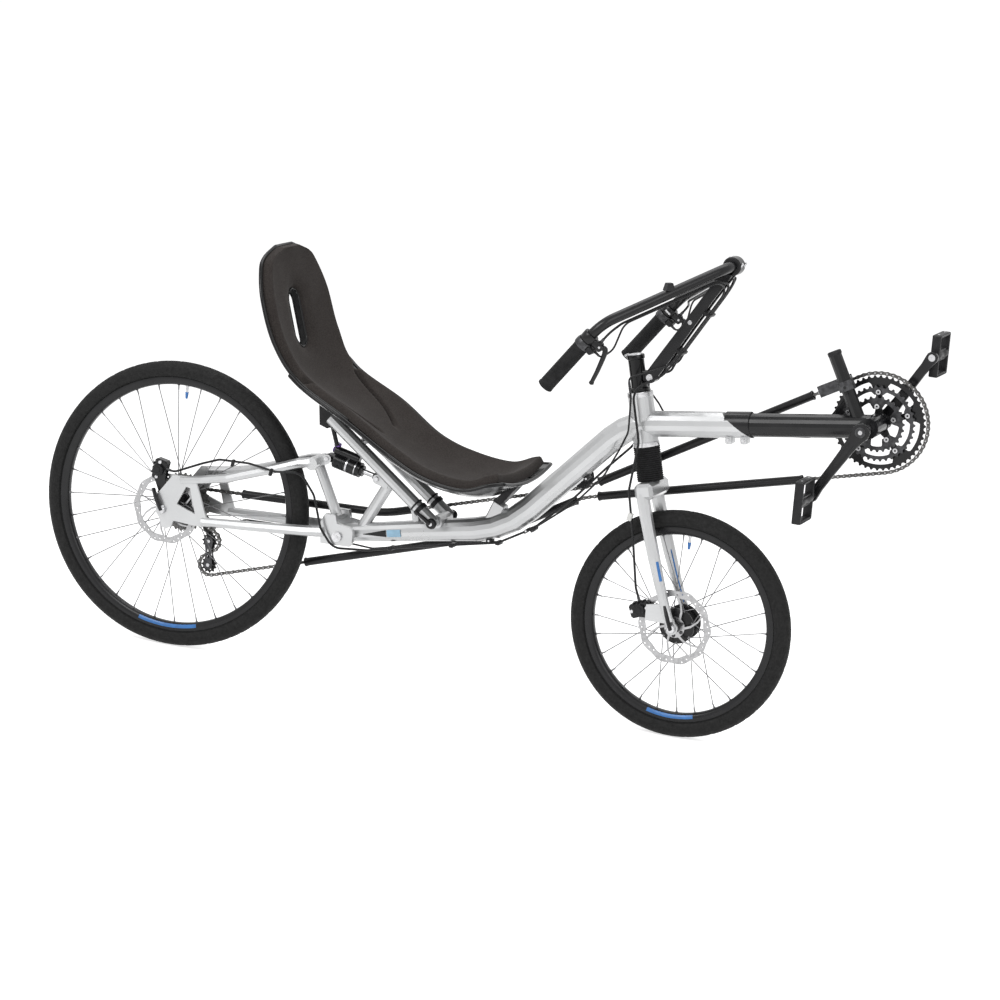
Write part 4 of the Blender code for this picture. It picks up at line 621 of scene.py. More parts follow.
def build_wheels():
    for body, axle, outer_r, steps, spokes, crosses, flanges, body_r, flange_r, half in WHEELS:
        seat_r = outer_r - TYRE_H
        build_tyre(body, axle, outer_r, steps)
        build_rim(body, axle, seat_r, spokes, radians(88.5))
        build_spokes(body, axle, seat_r, spokes, crosses, flanges, flange_r)
        build_hub(body, axle, half - 0.0008, flanges, body_r, flange_r)
        build_disc(body, axle, -(half - 0.0154))


# Seat: edge place, half width and dish at each station, as the shells have them
SEAT_LINE = [Vector(row) for row in (
    (0.215, 0.922, 0.042, 0.002), (0.218, 0.904, 0.102, 0.007), (0.226, 0.88, 0.133, 0.012),
    (0.249, 0.819, 0.162, 0.018), (0.285, 0.733, 0.164, 0.028), (0.34, 0.661, 0.151, 0.037),
    (0.457, 0.598, 0.153, 0.04), (0.556, 0.537, 0.143, 0.042), (0.643, 0.504, 0.16, 0.04),
    (0.729, 0.492, 0.163, 0.034), (0.784, 0.508, 0.154, 0.024), (0.813, 0.514, 0.14, 0.016))]
SHELL_T = 0.004
PAD_T = 0.022
PAD_FIRST = 0.1
PAD_LAST = 10.45
PAD_SHARE = 0.915
SEAT_FIT = 0.0009
SLOT_TOP = at(0.247, 0.804)
SLOT_BOTTOM = at(0.278, 0.74)
SLOT_DOWN = (SLOT_BOTTOM - SLOT_TOP).normalized()
SLOT_THROUGH = Vector((SLOT_DOWN.z, 0.0, -SLOT_DOWN.x))
SLOT_HALF = 0.028


def seat_station(place):
    rows = SEAT_LINE
    k = min(max(int(place), 0), len(rows) - 2)
    t = place - k
    a, b, c, d = rows[max(k - 1, 0)], rows[k], rows[k + 1], rows[min(k + 2, len(rows) - 1)]
    station = spline(a, b, c, d, t)
    run = ((c - a) + 2 * (2 * a - 5 * b + 4 * c - d) * t + 3 * (3 * b - a - 3 * c + d) * t * t).xy.normalized()
    return station.xy, station.z, station.w, Vector((-run.y, run.x))


def seat_point(station, v, lift):
    """A point over the seat surface: v is -1 at the near edge and 1 at the far one."""
    edge, half, dish, facing = station
    slope = 2 * dish * v / half
    flat = hypot(1.0, slope)
    up = lift / flat - dish * (1 - v * v)
    return at(edge.x + facing.x * up, edge.y + facing.y * up, half * v - lift * slope / flat)


def slot_distance(point):
    """How far a point lies outside the stadium slot, seen along the slot's own axis."""
    reach = (SLOT_BOTTOM - SLOT_TOP).length
    down = min(max((point - SLOT_TOP).dot(SLOT_DOWN), 0.0), reach)
    gap = point - SLOT_TOP - SLOT_DOWN * down
    return (gap - SLOT_THROUGH * gap.dot(SLOT_THROUGH)).length - SLOT_HALF


def slot_ring(step, half):
    """The slot's outline, step degrees apart, as steps down the slot and across the bicycle."""
    for centre, start in ((SLOT_TOP, 90), (SLOT_BOTTOM, -90)):
        for k in range(180 // step + 1):
            angle = radians(start + step * k)
            yield centre + SLOT_DOWN * cos(angle) * half, sin(angle) * half


def smooth_step(t):
    t = min(max(t, 0.0), 1.0)
    return t * t * (3 - 2 * t)


def pad_lift(place, v, half, point):
    """Thickness of the foam: rounded along its border, the slot and the two seams."""
    slot_gap = slot_distance(point)
    gap = min((1 - abs(v)) * half, (place - PAD_FIRST) * 0.072, (PAD_LAST - place) * 0.06, slot_gap)
    round_off = sqrt(max(0.0, 1 - (1 - min(max(gap, 0.0) / 0.011, 1.0)) ** 2))
    lift = SEAT_FIT + (PAD_T - SEAT_FIT) * (0.12 + 0.88 * round_off)
    # The cut between back and bottom pads runs in from each wing tip and fades before the middle
    seam_place = 5.05 + 1.35 * smooth_step((1 - abs(v)) / 0.75)
    lift -= 0.0165 * exp(-((place - seam_place) / 0.07) ** 2) * (1 - smooth_step((0.32 - abs(v)) / 0.25 + 0.6))
    lift *= 1 - 0.3 * exp(-(max(slot_gap, 0.0) / 0.022) ** 2)
    # Slight swell between the seams
    lift += 0.0012 * cos(v * pi) * round_off
    return max(lift, SEAT_FIT * 0.5)


def sheet_solid(bm, first, last, rows, columns, width, low_lift, high_lift):
    """A closed sheet between two lifts, each a number or a function of place, v, half width and point."""
    layers = []
    for lift in (low_lift, high_lift):
        layer = []
        for i in range(rows + 1):
            place = lerp(first, last, i / rows)
            station = seat_station(place)
            row = []
            for j in range(columns + 1):
                v = (2 * j / columns - 1) * width
                value = lift(place, v, station[1], seat_point(station, v, 0.0)) if callable(lift) else lift
                row.append(bm.verts.new(seat_point(station, v, value)))
            layer.append(row)
        skin(bm, layer, False)
        layers.append(layer)
    border = [(i, 0) for i in range(rows)] + [(rows, j) for j in range(columns)]
    border += [(i, columns) for i in range(rows, 0, -1)] + [(0, j) for j in range(columns, 0, -1)]
    skin(bm, [[layer[i][j] for i, j in border] for layer in layers])


def cut_slot(thing):
    bm = bmesh.new()
    low, high = [[spot + over(y) + SLOT_THROUGH * reach for spot, y in slot_ring(15, SLOT_HALF)]
                 for reach in (-0.09, 0.09)]
    prism(bm, low, high)
    bmesh.ops.recalc_face_normals(bm, faces=bm.faces[:])
    cutter = new_thing("slot_cutter", bm)
    hole = thing.modifiers.new("slot", "BOOLEAN")
    hole.object = cutter
    hole.operation = "DIFFERENCE"
    hole.solver = "EXACT"
    done = bpy.data.meshes.new_from_object(thing.evaluated_get(bpy.context.evaluated_depsgraph_get()))
    thing.modifiers.clear()
    thing.data = done
    bpy.data.objects.remove(cutter, do_unlink=True)
    soft_edges(done, 50)


def slot_border():
    """The seat's station and v all round the slot."""
    places = [2 + p / 60 for p in range(180)]
    for spot, y in slot_ring(10, SLOT_HALF - 0.0004):
        place = min(places, key=lambda p: abs((seat_point(seat_station(p), 0.0, 0.0) - spot).dot(SLOT_DOWN)))
        station = seat_station(place)
        yield station, y / station[1]


def build_seat():
    bm = bmesh.new()
    sheet_solid(bm, PAD_FIRST, PAD_LAST, 250, 72, PAD_SHARE, SEAT_FIT * 0.6,
                lambda place, v, half, point: pad_lift(place, v / PAD_SHARE, half * PAD_SHARE, point))
    pad = piece("seat_pad_foam", bm, "seat_foam", "frame", ["seat_pad_upper", "seat_pad_lower"], sharp=60)
    cut_slot(pad)
    for name, node, start, end, width, back in (
            ("seat_back_shell", "seat_shell_upper", 0.0, 6.0, 0.96, -SHELL_T),
            ("seat_base_shell", "seat_shell_lower", 4.8, 11.0, 1.0, -2 * SHELL_T - SEAT_FIT)):
        bm = bmesh.new()
        sheet_solid(bm, start, end, 110, 40, width, back, back + SHELL_T)
        shell = piece(name, bm, "shell_gloss", "frame", [node], sharp=40)
        if start == 0.0:
            cut_slot(shell)
        # Rolled rim round the open border
        lift = back + SHELL_T * 0.55
        near, far = [[seat_point(seat_station(lerp(start, end, i / 80)), v, lift) for i in range(81)]
                     for v in (-width, width)]
        tail, nose = [[seat_point(seat_station(place), lerp(-width, width, j / 24), lift) for j in range(1, 24)]
                      for place in (start, end)]
        bm = bmesh.new()
        add_tube(bm, near + nose + far[::-1] + tail[::-1], 0.0042, 10, closed=True)
        piece(f"{name}_rim", bm, "shell_gloss", "frame")
    # Black lining and binding round the slot
    border = list(slot_border())
    bm = bmesh.new()
    skin(bm, [add_verts(bm, [seat_point(station, v, lift) for station, v in border])
              for lift in (-SHELL_T - 0.0006, 0.0125)])
    piece("seat_slot_lining", bm, "black_rubber", "frame")
    bm = bmesh.new()
    for lift in (0.0125, -SHELL_T):
        add_tube(bm, [seat_point(station, v, lift) for station, v in border], 0.0018, 8, closed=True)
    piece("seat_slot_binding", bm, "shell_gloss", "frame")


# Drive train: the chain's way round, as the solid chain has it
CHAIN_H = 0.008
CENTRE_TO_TIP = CHAIN_H / 2 + 0.0006
CHORD_ROOM = 0.0006
CHAIN_TUBE_R = 0.009
CHAIN_TUBE_BORE = 0.0062
TUBE_BEND_R = 0.3
IDLER = (0.915, 0.508)
IDLER_R = 0.02
IDLER_Y = 0.066
RETURN_Y = 0.085
SMALL_SPROCKET_Y = 0.058
SPROCKET_STEP = 0.0048
CASSETTE = (11, 13, 15, 18, 21, 26, 32)
PULLEY_R = 0.019
GUIDE_PULLEY = (0.058, 0.234)
TENSION_PULLEY = (0.06, 0.18)
HANGER = (0.013, 0.289)
KNUCKLE = (0.046, 0.262)
TUBES = {"pulling_front": (0.955, 1.404), "pulling_rear": (0.131, 0.56),
         "return_front": (0.95, 1.397), "return_rear": (0.289, 0.9)}
# Teeth, place across, width of the ring and radius of its tabs' feet
RINGS = ((48, 0.052, 0.013, 0.0595), (38, 0.044, 0.0115, 0.0595), (28, 0.036, 0.012, 0.032))
SPIDER_Y = 0.048
DROPOUT_Y = 0.07


def tip_radius(teeth):
    return CHAIN_PITCH / (2 * sin(pi / teeth)) + TOOTH_RISE


def side_place(spot):
    return (spot.x - REAR_AXLE.x, spot.z - FLOOR_Z)


def chain_arcs(step=0.05):
    """Points round each wheel of the route, in the frame's own axes."""
    small = CENTRE_TO_TIP + CHORD_ROOM
    wheels = [
        (side_place(CRANK_AXLE), tip_radius(48) + CENTRE_TO_TIP, CHAINLINE, 1),
        (IDLER, IDLER_R + CENTRE_TO_TIP, IDLER_Y, -1),
        ((0.4232, 0.6575), TUBE_BEND_R, IDLER_Y, -1),
        (side_place(REAR_AXLE), tip_radius(11) + small, SMALL_SPROCKET_Y, 1),
        (GUIDE_PULLEY, PULLEY_R + small, SMALL_SPROCKET_Y, -1),
        (TENSION_PULLEY, PULLEY_R + small, SMALL_SPROCKET_Y, 1),
        ((0.59, 0.619), TUBE_BEND_R, RETURN_Y, 1),
        ((0.97, 0.3175), TUBE_BEND_R / 2, RETURN_Y, -1),
    ]
    headings = []
    for (c0, r0, _, t0), (c1, r1, _, t1) in zip(wheels, wheels[1:] + wheels[:1]):
        run = Vector(c1) - Vector(c0)
        headings.append(atan2(run.y, run.x) - asin((t1 * r1 - t0 * r0) / run.length))
    arcs = []
    for i, ((x, z), radius, y, turn) in enumerate(wheels):
        swing = (headings[i] - headings[i - 1]) * turn % tau
        count = max(1, ceil(swing / step))
        angles = [headings[i - 1] + turn * swing * k / count for k in range(count + 1)]
        arcs.append([at(x + turn * radius * sin(a), z - turn * radius * cos(a), y) for a in angles])
    return arcs


def clipped(run, ends):
    """The part of a run between two places along the bicycle."""
    low, high = [REAR_AXLE.x + x for x in ends]
    path = []
    for a, b in zip(run, run[1:]):
        if low <= a.x <= high:
            path.append(a)
        for x in sorted((low, high), reverse=b.x < a.x):
            if min(a.x, b.x) < x < max(a.x, b.x):
                path.append(a.lerp(b, (x - a.x) / (b.x - a.x)))
    return path


def build_chain_tubes(arcs):
    """Hollow tubes with flared mouths round the chain's long runs."""
    pulling = [arcs[0][-1]] + arcs[1] + arcs[2] + [arcs[3][0]]
    returning = [arcs[5][-1]] + arcs[6] + arcs[7] + [arcs[0][0]]
    for name, ends in TUBES.items():
        path = clipped(pulling if name.startswith("pulling") else returning, ends)
        first, last = (path[1] - path[0]).normalized(), (path[-1] - path[-2]).normalized()
        path = [path[0], path[0] + first * 0.006] + path[1:-1] + [path[-1] - last * 0.006, path[-1]]
        flare = [0.0013] + [0.0] * (len(path) - 2) + [0.0013]
        bm = bmesh.new()
        outer, bore = [sweep(bm, path, [radius + more for more in flare], 20, over(1.0))
                       for radius in (CHAIN_TUBE_R, CHAIN_TUBE_BORE)]
        for rings in (outer, bore, (outer[0], bore[0]), (outer[-1], bore[-1])):
            skin(bm, rings)
        piece(f"chain_guard_tube_{name}", bm, "hose_black", "frame", [f"chain_tube_{name}"])


def in_tube(point):
    x, z = side_place(point)
    pulling = z > 0.22 + 0.28 * x
    return any(x0 + 0.015 < x < x1 - 0.015 for name, (x0, x1) in TUBES.items()
               if name.startswith("pulling") == pulling)


def add_link(bm, a, b, gap, height, thickness):
    """One pair of link plates with waists, from one pin to the next."""
    length = (b - a).length
    run = (b - a).normalized()
    rise = run.cross(over(1.0)).normalized()
    across = rise.cross(run)
    outline = []
    for centre, start, waist in ((0.0, 90, -0.33), (length, -90, 0.33)):
        for k in range(7):
            angle = radians(start + 30 * k)
            outline.append(run * (centre + height / 2 * cos(angle)) + rise * (height / 2 * sin(angle)))
        outline.append(run * (length / 2) + rise * (height * waist))
    for sign in (-1, 1):
        low, high = [[a + step + across * sign * depth for step in outline] for depth in (gap, gap + thickness)]
        prism(bm, low, high)


def build_chain(arcs):
    loop = [point for arc in arcs for point in arc] + [arcs[0][0]]
    lengths = [0.0]
    for a, b in zip(loop, loop[1:]):
        lengths.append(lengths[-1] + (b - a).length)
    links = 2 * round(lengths[-1] / CHAIN_PITCH / 2)
    pins, k = [], 0
    for i in range(links):
        mark = i * lengths[-1] / links
        while lengths[k + 1] < mark:
            k += 1
        pins.append(loop[k].lerp(loop[k + 1], (mark - lengths[k]) / (lengths[k + 1] - lengths[k])))
    plates, rollers = bmesh.new(), bmesh.new()
    for i, (a, b) in enumerate(zip(pins, pins[1:] + pins[:1])):
        if in_tube((a + b) / 2):
            continue
        add_link(plates, a, b, 0.0022 if i % 2 else 0.0013, CHAIN_H, 0.0008)
        add_pin(rollers, a, -0.0032, 0.0032, 0.0015, sides=8)
        add_pin(rollers, a, -0.0012, 0.0012, 0.0033, sides=10)
    piece("chain_plates", plates, "chain_steel", "frame", ["chain"], sharp=30)
    piece("chain_rollers", rollers, "bright_steel", "frame")


def tooth_outline(centre, teeth, tip, depth, start=0.0):
    shape = ((0.06, tip - depth), (0.22, tip - depth * 0.85), (0.36, tip - 0.0006), (0.46, tip), (0.54, tip),
             (0.64, tip - 0.0006), (0.78, tip - depth * 0.85), (0.94, tip - depth))
    return [centre + ray(start + tau * (i + t) / teeth, r) for i in range(teeth) for t, r in shape]


def build_cassette():
    bm = bmesh.new()
    for i, teeth in enumerate(CASSETTE):
        outer = tip_radius(teeth)
        holes = [circle(REAR_AXLE, 0.0145, 28)]
        if outer > 0.036:
            web = (outer + 0.01) / 2
            size = (outer - 0.028) / 2 * 0.72
            count = 7 if outer > 0.05 else 6
            holes += [circle(REAR_AXLE + ray(tau * j / count + i * 0.3, web), size, 12) for j in range(count)]
        add_plate(bm, tooth_outline(REAR_AXLE, teeth, outer, 0.0042, i * 0.11), holes,
                  SMALL_SPROCKET_Y - i * SPROCKET_STEP, 0.0018)
    piece("rear_wheel_sprockets", bm, "chain_steel", "rear_wheel", ["rear_wheel_cassette"], sharp=30)
    bm = bmesh.new()
    place = seated(REAR_AXLE)
    y = SMALL_SPROCKET_Y
    low = y - 6 * SPROCKET_STEP - 0.0014
    add_lathe(bm, [(0.0118, low), (0.0168, low), (0.0168, y - 0.0012), (0.0118, y - 0.0012)], place, 32)
    add_lathe(bm, [(0.0118, y + 0.0009), (0.016, y + 0.0009), (0.0158, y + 0.0017), (0.0118, y + 0.0018)], place, 48,
              wave=lambda i, k: -0.0007 if i % 4 < 2 and k in (1, 2) else 0.0)
    piece("rear_wheel_lockring", bm, "dark_steel", "rear_wheel")


def tabbed_hole(inner, tab):
    """A ring's opening with five tabs for its bolts."""
    spots = []
    for i in range(150):
        angle = tau * i / 150
        off = abs((angle - CRANK_ANGLE) % (tau / 5) - tau / 10)
        spots.append(CRANK_AXLE + ray(angle, lerp(tab, inner, smooth_step((off - 0.0085 / tab) / 0.12))))
    return spots


def build_chainrings():
    for teeth, y, band, tab in RINGS:
        outer = tip_radius(teeth)
        bm = bmesh.new()
        add_plate(bm, tooth_outline(CRANK_AXLE, teeth, outer, 0.0045), [tabbed_hole(outer - band, tab)], y, 0.0022,
                  0.0002)
        piece(f"chainring_{teeth}", bm, "black_paint" if teeth == 48 else "dark_steel", "crankset",
              ["chainrings"] if teeth == 48 else (), sharp=30)
    spider, bolts = bmesh.new(), bmesh.new()
    arm = ((0.014, 0.01), (0.034, 0.0062), (0.056, 0.0064), (0.0655, 0.008), (0.0725, 0.0062), (0.0745, 0))
    for i in range(5):
        angle = tau * (i + 0.5) / 5 + CRANK_ANGLE
        out = ray(angle)
        add_plate(spider, mirrored_outline(CRANK_AXLE, out, ray(angle + pi / 2), arm), [], SPIDER_Y, 0.0052, 0.0009)
        for r, low, high in ((0.0655, 0.0414, 0.0546), (0.037, 0.0334, SPIDER_Y + 0.003)):
            for y, sign in ((high, -1), (low, 1)):
                head = Matrix.Translation(CRANK_AXLE + out * r + over(y)) @ Matrix.Rotation(sign * pi / 2, 4, "X")
                add_lathe(bolts, [(0.0022, 0.0022), (0.0022, 0.0004), (0.0042, 0.0), (0.0052, 0.0004),
                                  (0.0052, 0.003), (0.0022, 0.003)], head, 18)
    add_lathe(spider, [(0.0092, SPIDER_Y - 0.006), (0.0215, SPIDER_Y - 0.006), (0.0222, SPIDER_Y - 0.004),
                       (0.0222, SPIDER_Y + 0.003), (0.0195, SPIDER_Y + 0.01), (0.0175, 0.0782), (0.0092, 0.0782)],
              seated(CRANK_AXLE), 40)
    piece("chainring_spider", spider, "black_paint", "crankset", sharp=35)
    piece("chainring_bolts", bolts, "bright_steel", "crankset")


def build_cranks():
    rows = ((-0.0185, 0), (-0.0165, 0.0095), (-0.0105, 0.016), (0.0, 0.0188), (0.01, 0.0168), (0.022, 0.0138),
            (0.05, 0.0118), (0.1, 0.0102), (0.145, 0.01), (0.16, 0.0118), (0.17, 0.0126),
            (0.178, 0.0092), (0.1808, 0))
    for name, side in (("near", -1), ("far", 1)):
        along = ray(CRANK_ANGLE, side)
        across = Vector((-along.z, 0, along.x))
        y = side * 0.085
        eye = CRANK_AXLE + along * CRANK_LENGTH
        bm = bmesh.new()
        add_plate(bm, mirrored_outline(CRANK_AXLE, along, across, rows), [circle(CRANK_AXLE, 0.009, 20)], y, 0.0125)
        piece(f"crank_forging_{name}", bm, "black_paint", "crankset", [f"crank_arm_{name}"], sharp=35, bevel=0.0026)
        bm = bmesh.new()
        for sign in (-1, 1):
            a, b = [CRANK_AXLE + along * r + across * sign * h + over(y + side * 0.0063)
                    for r, h in ((0.03, 0.0052), (0.148, 0.004))]
            add_tube(bm, [a, a.lerp(b, 0.5), b], 0.0007, 8)
        piece(f"crank_ribs_{name}", bm, "black_paint", "crankset")
        bm = bmesh.new()
        cap = Matrix.Translation(CRANK_AXLE + over(y + side * 0.006)) @ Matrix.Rotation(-side * pi / 2, 4, "X")
        add_lathe(bm, [(0.0, 0.0005), (0.0045, 0.0005), (0.0045, 0.002), (0.0088, 0.0024), (0.0108, 0.0014),
                       (0.0112, 0.0), (0.0, -0.0015)], cap, 30, closed=False)
        piece(f"crank_cap_{name}", bm, "dark_steel", "crankset")
        bm = bmesh.new()
        add_pin(bm, eye, y - side * 0.0072, side * 0.104, 0.0075, sides=20, ease=0.0008)
        add_pin(bm, eye, side * 0.1, side * 0.1835, 0.0053, 0.0045, 18, ease=0.0006)
        piece(f"pedal_axle_{name}", bm, "bright_steel", "crankset")
        build_pedal(name, side, eye)


def build_pedal(name, side, eye):
    """A caged platform pedal: toothed plates, end bars, a bearing barrel and pins."""
    body = f"pedal_{name}"
    centre = eye + over(side * 0.145)
    bm = bmesh.new()
    half = [(0.0088, 0.01), (0.01, 0.014), (0.01, 0.038), (0.0094, 0.04), (0.0064, 0.04)]
    add_lathe(bm, [(r, -y) for r, y in reversed(half)] + half, seated(centre), 28)
    for end in (-1, 1):
        add_block(bm, centre + over(end * 0.0385), (0.0185, 0.007, 0.086), 0.0, 0.0022)
    for up in (-1, 1):
        for rise, size, bevel in ((0.0405, (0.017, 0.076, 0.0065), 0.0018), (0.009, (0.011, 0.072, 0.005), 0.0012)):
            add_block(bm, centre + Vector((0, 0, up * rise)), size, 0.0, bevel)
    piece(f"pedal_body_{name}", bm, "black_plastic", body, [body], sharp=35)
    row = [(-0.0366, -0.004), (0.0366, -0.004)]
    for i in range(10, -1, -1):
        y = lerp(-0.034, 0.034, i / 10)
        row += ([(y, 0.0022)] if i < 10 else []) + [(y - 0.0026, 0.0)]
    teeth, pins = bmesh.new(), bmesh.new()
    for up in (-1, 1):
        for face in (-1, 1):
            prism(teeth, *[[centre + Vector((face * (0.0099 + z * 0.25), y, up * (0.0421 - depth))) for y, z in row]
                           for depth in (0.0, 0.0012)])
        for end in (-1, 1):
            low, high = [centre + Vector((0, end * 0.024, up * z)) for z in (0.0378, 0.0442)]
            add_rod(pins, low, high, 0.0024, sides=12, ease=0.0004)
    piece(f"pedal_teeth_{name}", teeth, "dark_steel", body, sharp=20)
    piece(f"pedal_pins_{name}", pins, "bright_steel", body)


def build_idler():
    bm = bmesh.new()
    half = [(0.02, 0.0032), (0.0238, 0.0034), (0.0249, 0.0038), (0.0249, 0.0048), (0.02, 0.005), (0.0062, 0.0048)]
    add_lathe(bm, [(r, -y) for r, y in reversed(half)] + half, seated(at(*IDLER, IDLER_Y)), 48)
    piece("idler_wheel", bm, "black_plastic", "frame", ["chain_idler"], sharp=35)
    bm = bmesh.new()
    for y0, y1, r, sides, ease in ((0.0408, IDLER_Y + 0.0062, 0.0061, 20, 0.0006),
                                   (IDLER_Y + 0.005, IDLER_Y + 0.0098, 0.0085, 6, 0.0008),
                                   (0.055, 0.0605, 0.0082, 20, 0.0006)):
        add_pin(bm, at(*IDLER), y0, y1, r, sides=sides, ease=ease)
    piece("idler_bolt", bm, "bright_steel", "frame")


def build_rear_derailleur():
    y = SMALL_SPROCKET_Y
    guide, tension, knuckle = at(*GUIDE_PULLEY), at(*TENSION_PULLEY), at(*KNUCKLE)
    along = (tension - guide).normalized()
    across = Vector((-along.z, 0, along.x))
    centre = guide.lerp(tension, 0.5)
    cage = bmesh.new()
    for side, width in ((-1, 0.0105), (1, 0.0095)):
        outline = []
        for spot, facing in ((guide, -1), (tension, 1)):
            for k in range(7):
                angle = radians(-90 + 30 * k) * facing
                outline.append(spot + along * facing * cos(angle) * width + across * sin(angle) * width)
            outline.append(centre + across * facing * width * 0.62)
        hole = [centre + along * cos(a) * 0.012 + across * sin(a) * 0.0028 for a in [tau * i / 16 for i in range(16)]]
        add_plate(cage, outline, [hole], y + side * 0.0062, 0.0017, 0.0002)
    piece("derailleur_cage", cage, "dark_steel", "frame", ["rear_derailleur"], sharp=30)
    pulleys, bolts = bmesh.new(), bmesh.new()
    for spot in (guide, tension):
        holes = [circle(spot, 0.0052, 16)] + [circle(spot + ray(tau * i / 5, 0.0105), 0.0022, 10) for i in range(5)]
        add_plate(pulleys, tooth_outline(spot, 11, PULLEY_R, 0.0038), holes, y, 0.0023)
        add_pin(bolts, spot, y - 0.0088, y + 0.0088, 0.0042, ease=0.0006)
    piece("derailleur_pulleys", pulleys, "black_plastic", "frame", sharp=30)
    piece("derailleur_bolts", bolts, "bright_steel", "frame")
    body = bmesh.new()
    outer = DROPOUT_Y + 0.0029
    add_pin(body, at(*HANGER), outer, outer + 0.018, 0.0112, sides=28, ease=0.0014)
    add_pin(body, knuckle, y + 0.0065, outer + 0.016, 0.012, sides=28, ease=0.0014)
    link = knuckle - at(*HANGER)
    for lift in (-0.0045, 0.0045):
        add_block(body, (at(*HANGER) + knuckle) / 2 + over(outer + 0.009 + lift), (link.length * 0.98, 0.0048, 0.017),
                  pitch_of(link), 0.0014)
    arm = guide - knuckle
    add_block(body, (knuckle + guide) / 2 + over(y + 0.0083), (arm.length * 0.9, 0.004, 0.0165), pitch_of(arm), 0.0012)
    piece("derailleur_body", body, "black_paint", "frame", sharp=35)


# Cockpit, from the same places as the solids
GAP = 0.0003
HOSE_R = 0.0025
SHIFT_R = 0.002
CABLE_BEND = 0.035
CABLE_OFF_BAR = 0.018
CABLE_OFF_STEM = 0.021
CABLE_SPLIT = 0.016
HOSE_REACH = 0.045
SHIFT_REACH = 0.058
BAR_R = 0.011
BAR_Y = 0.25
BAR_HALF_FRONT = 0.045
BAR_FRONT = at(1.224, 1.004)
BAR_BEND = at(1.037, 0.887)
BAR_END = at(0.93, 0.748)
GRIP_ALONG = (BAR_BEND - BAR_END).normalized()
GRIP_OUT = Vector((GRIP_ALONG.z, 0.0, -GRIP_ALONG.x))
GRIP_LENGTH = 0.112
SHIFTER_LENGTH = 0.016
PERCH_LENGTH = 0.018
SHIFTER_LOW = GRIP_LENGTH + GAP
PERCH_LOW = SHIFTER_LOW + SHIFTER_LENGTH + GAP
LEVER_TIP = (1.026, 0.765)
STEM_HINGE = at(1.071, 0.753)
STEM_RUN = BAR_FRONT - STEM_HINGE
STEM_ALONG = STEM_RUN.normalized()
STEM_AHEAD = Vector((STEM_ALONG.z, 0, -STEM_ALONG.x))
# Hose and cable routes: forward, across and up
FRONT_HOSE_END = [
    (1.0454, -0.045, 0.728), (1.0699, -0.045, 0.62), (1.058, -0.045, 0.517), (1.077, -0.045, 0.414),
    (1.0896, -0.0361, 0.3122), (1.1005, -0.0361, 0.2843),
]
REAR_HOSE_ROUTE = [
    (1.05, 0.044, 0.64), (1.03, 0.038, 0.595), (0.987, 0.004, 0.545), (0.926, -0.008, 0.474),
    (0.842, -0.01, 0.396), (0.765, -0.01, 0.3525), (0.55, -0.01, 0.3085),
    (0.47, -0.014, 0.29), (0.4, -0.046, 0.29), (0.372, -0.054, 0.33), (0.35, -0.052, 0.4),
    (0.315, -0.053, 0.445), (0.262, -0.065, 0.44), (0.2, -0.069, 0.45),
    (0.126, -0.064, 0.447), (0.085, -0.062, 0.432), (0.0178, -0.061, 0.4029), (-0.0018, -0.061, 0.4069),
]
REAR_SHIFT_ROUTE = [
    (1.049, -0.056, 0.64), (1.03, -0.045, 0.6), (0.987, -0.004, 0.531), (0.926, 0.005, 0.4625),
    (0.842, 0.005, 0.396), (0.765, 0.005, 0.3525), (0.55, 0.005, 0.3085),
    (0.47, 0.01, 0.29), (0.365, 0.037, 0.2885), (0.325, 0.047, 0.297), (0.2, 0.062, 0.2955),
    (0.13, 0.078, 0.29), (0.085, 0.08, 0.266), (0.059, 0.08, 0.264),
]
FRONT_SHIFT_ROUTE = [
    (1.075, 0.05, 0.69), (1.1, 0.042, 0.66), (1.15, 0.023, 0.6416), (1.24, 0.023, 0.6535),
    (1.3, 0.022, 0.66), (1.36, 0.021, 0.666), (1.42, 0.022, 0.672), (1.435, 0.0285, 0.69),
    (1.4804, 0.0285, 0.7654), (1.4711, 0.0285, 0.7827),
]


def cable_path(corners):
    bends = []
    for before, corner, after in zip(corners, corners[1:], corners[2:]):
        back, ahead = before - corner, after - corner
        room = 0.45 * min(back.length, ahead.length)
        bends.append(min(CABLE_BEND, room * tan(back.angle(ahead) / 2)))
    return rounded_path(corners, bends, step=0.14)


def cable_start(lane, side):
    """From the far lever or shifter, or the near one, along the bar and down the stem."""
    far, hose = over(BAR_Y), lane == "hose"
    if hose:
        perch = BAR_END + GRIP_ALONG * (PERCH_LOW + PERCH_LENGTH) + GRIP_OUT * 0.024 + far
        points = [perch - GRIP_ALONG * (0.001 - GAP), perch + GRIP_ALONG * 0.029]
    else:
        pod = BAR_END + GRIP_ALONG * (SHIFTER_LOW + SHIFTER_LENGTH / 2) + GRIP_OUT * (0.027 + GAP) + far - over(0.0115)
        points = [pod, pod + GRIP_OUT * 0.016, at(1.06, 0.835, BAR_Y - 0.018)]
    bend, front = BAR_BEND + far, BAR_FRONT + over(BAR_HALF_FRONT)
    run = (front - bend).normalized()
    under = (run * run.z - Vector((0, 0, 1))).normalized()
    shift = under * CABLE_OFF_BAR + under.cross(run) * (0.004 if hose else -0.005)
    points += [bend.lerp(front, share) + shift for share in (0.15, 0.9)]
    near, wide = (0.0045, 0.026) if hose else (0.0135, 0.034)
    for share, y in zip((0.9, 0.2, 0.08) if hose else (0.85, 0.3, 0.17), (near, near, wide)):
        points.append(STEM_HINGE + STEM_RUN * share + STEM_AHEAD * CABLE_OFF_STEM + over(y))
    return [Vector((point.x, side * point.y, point.z)) for point in points]


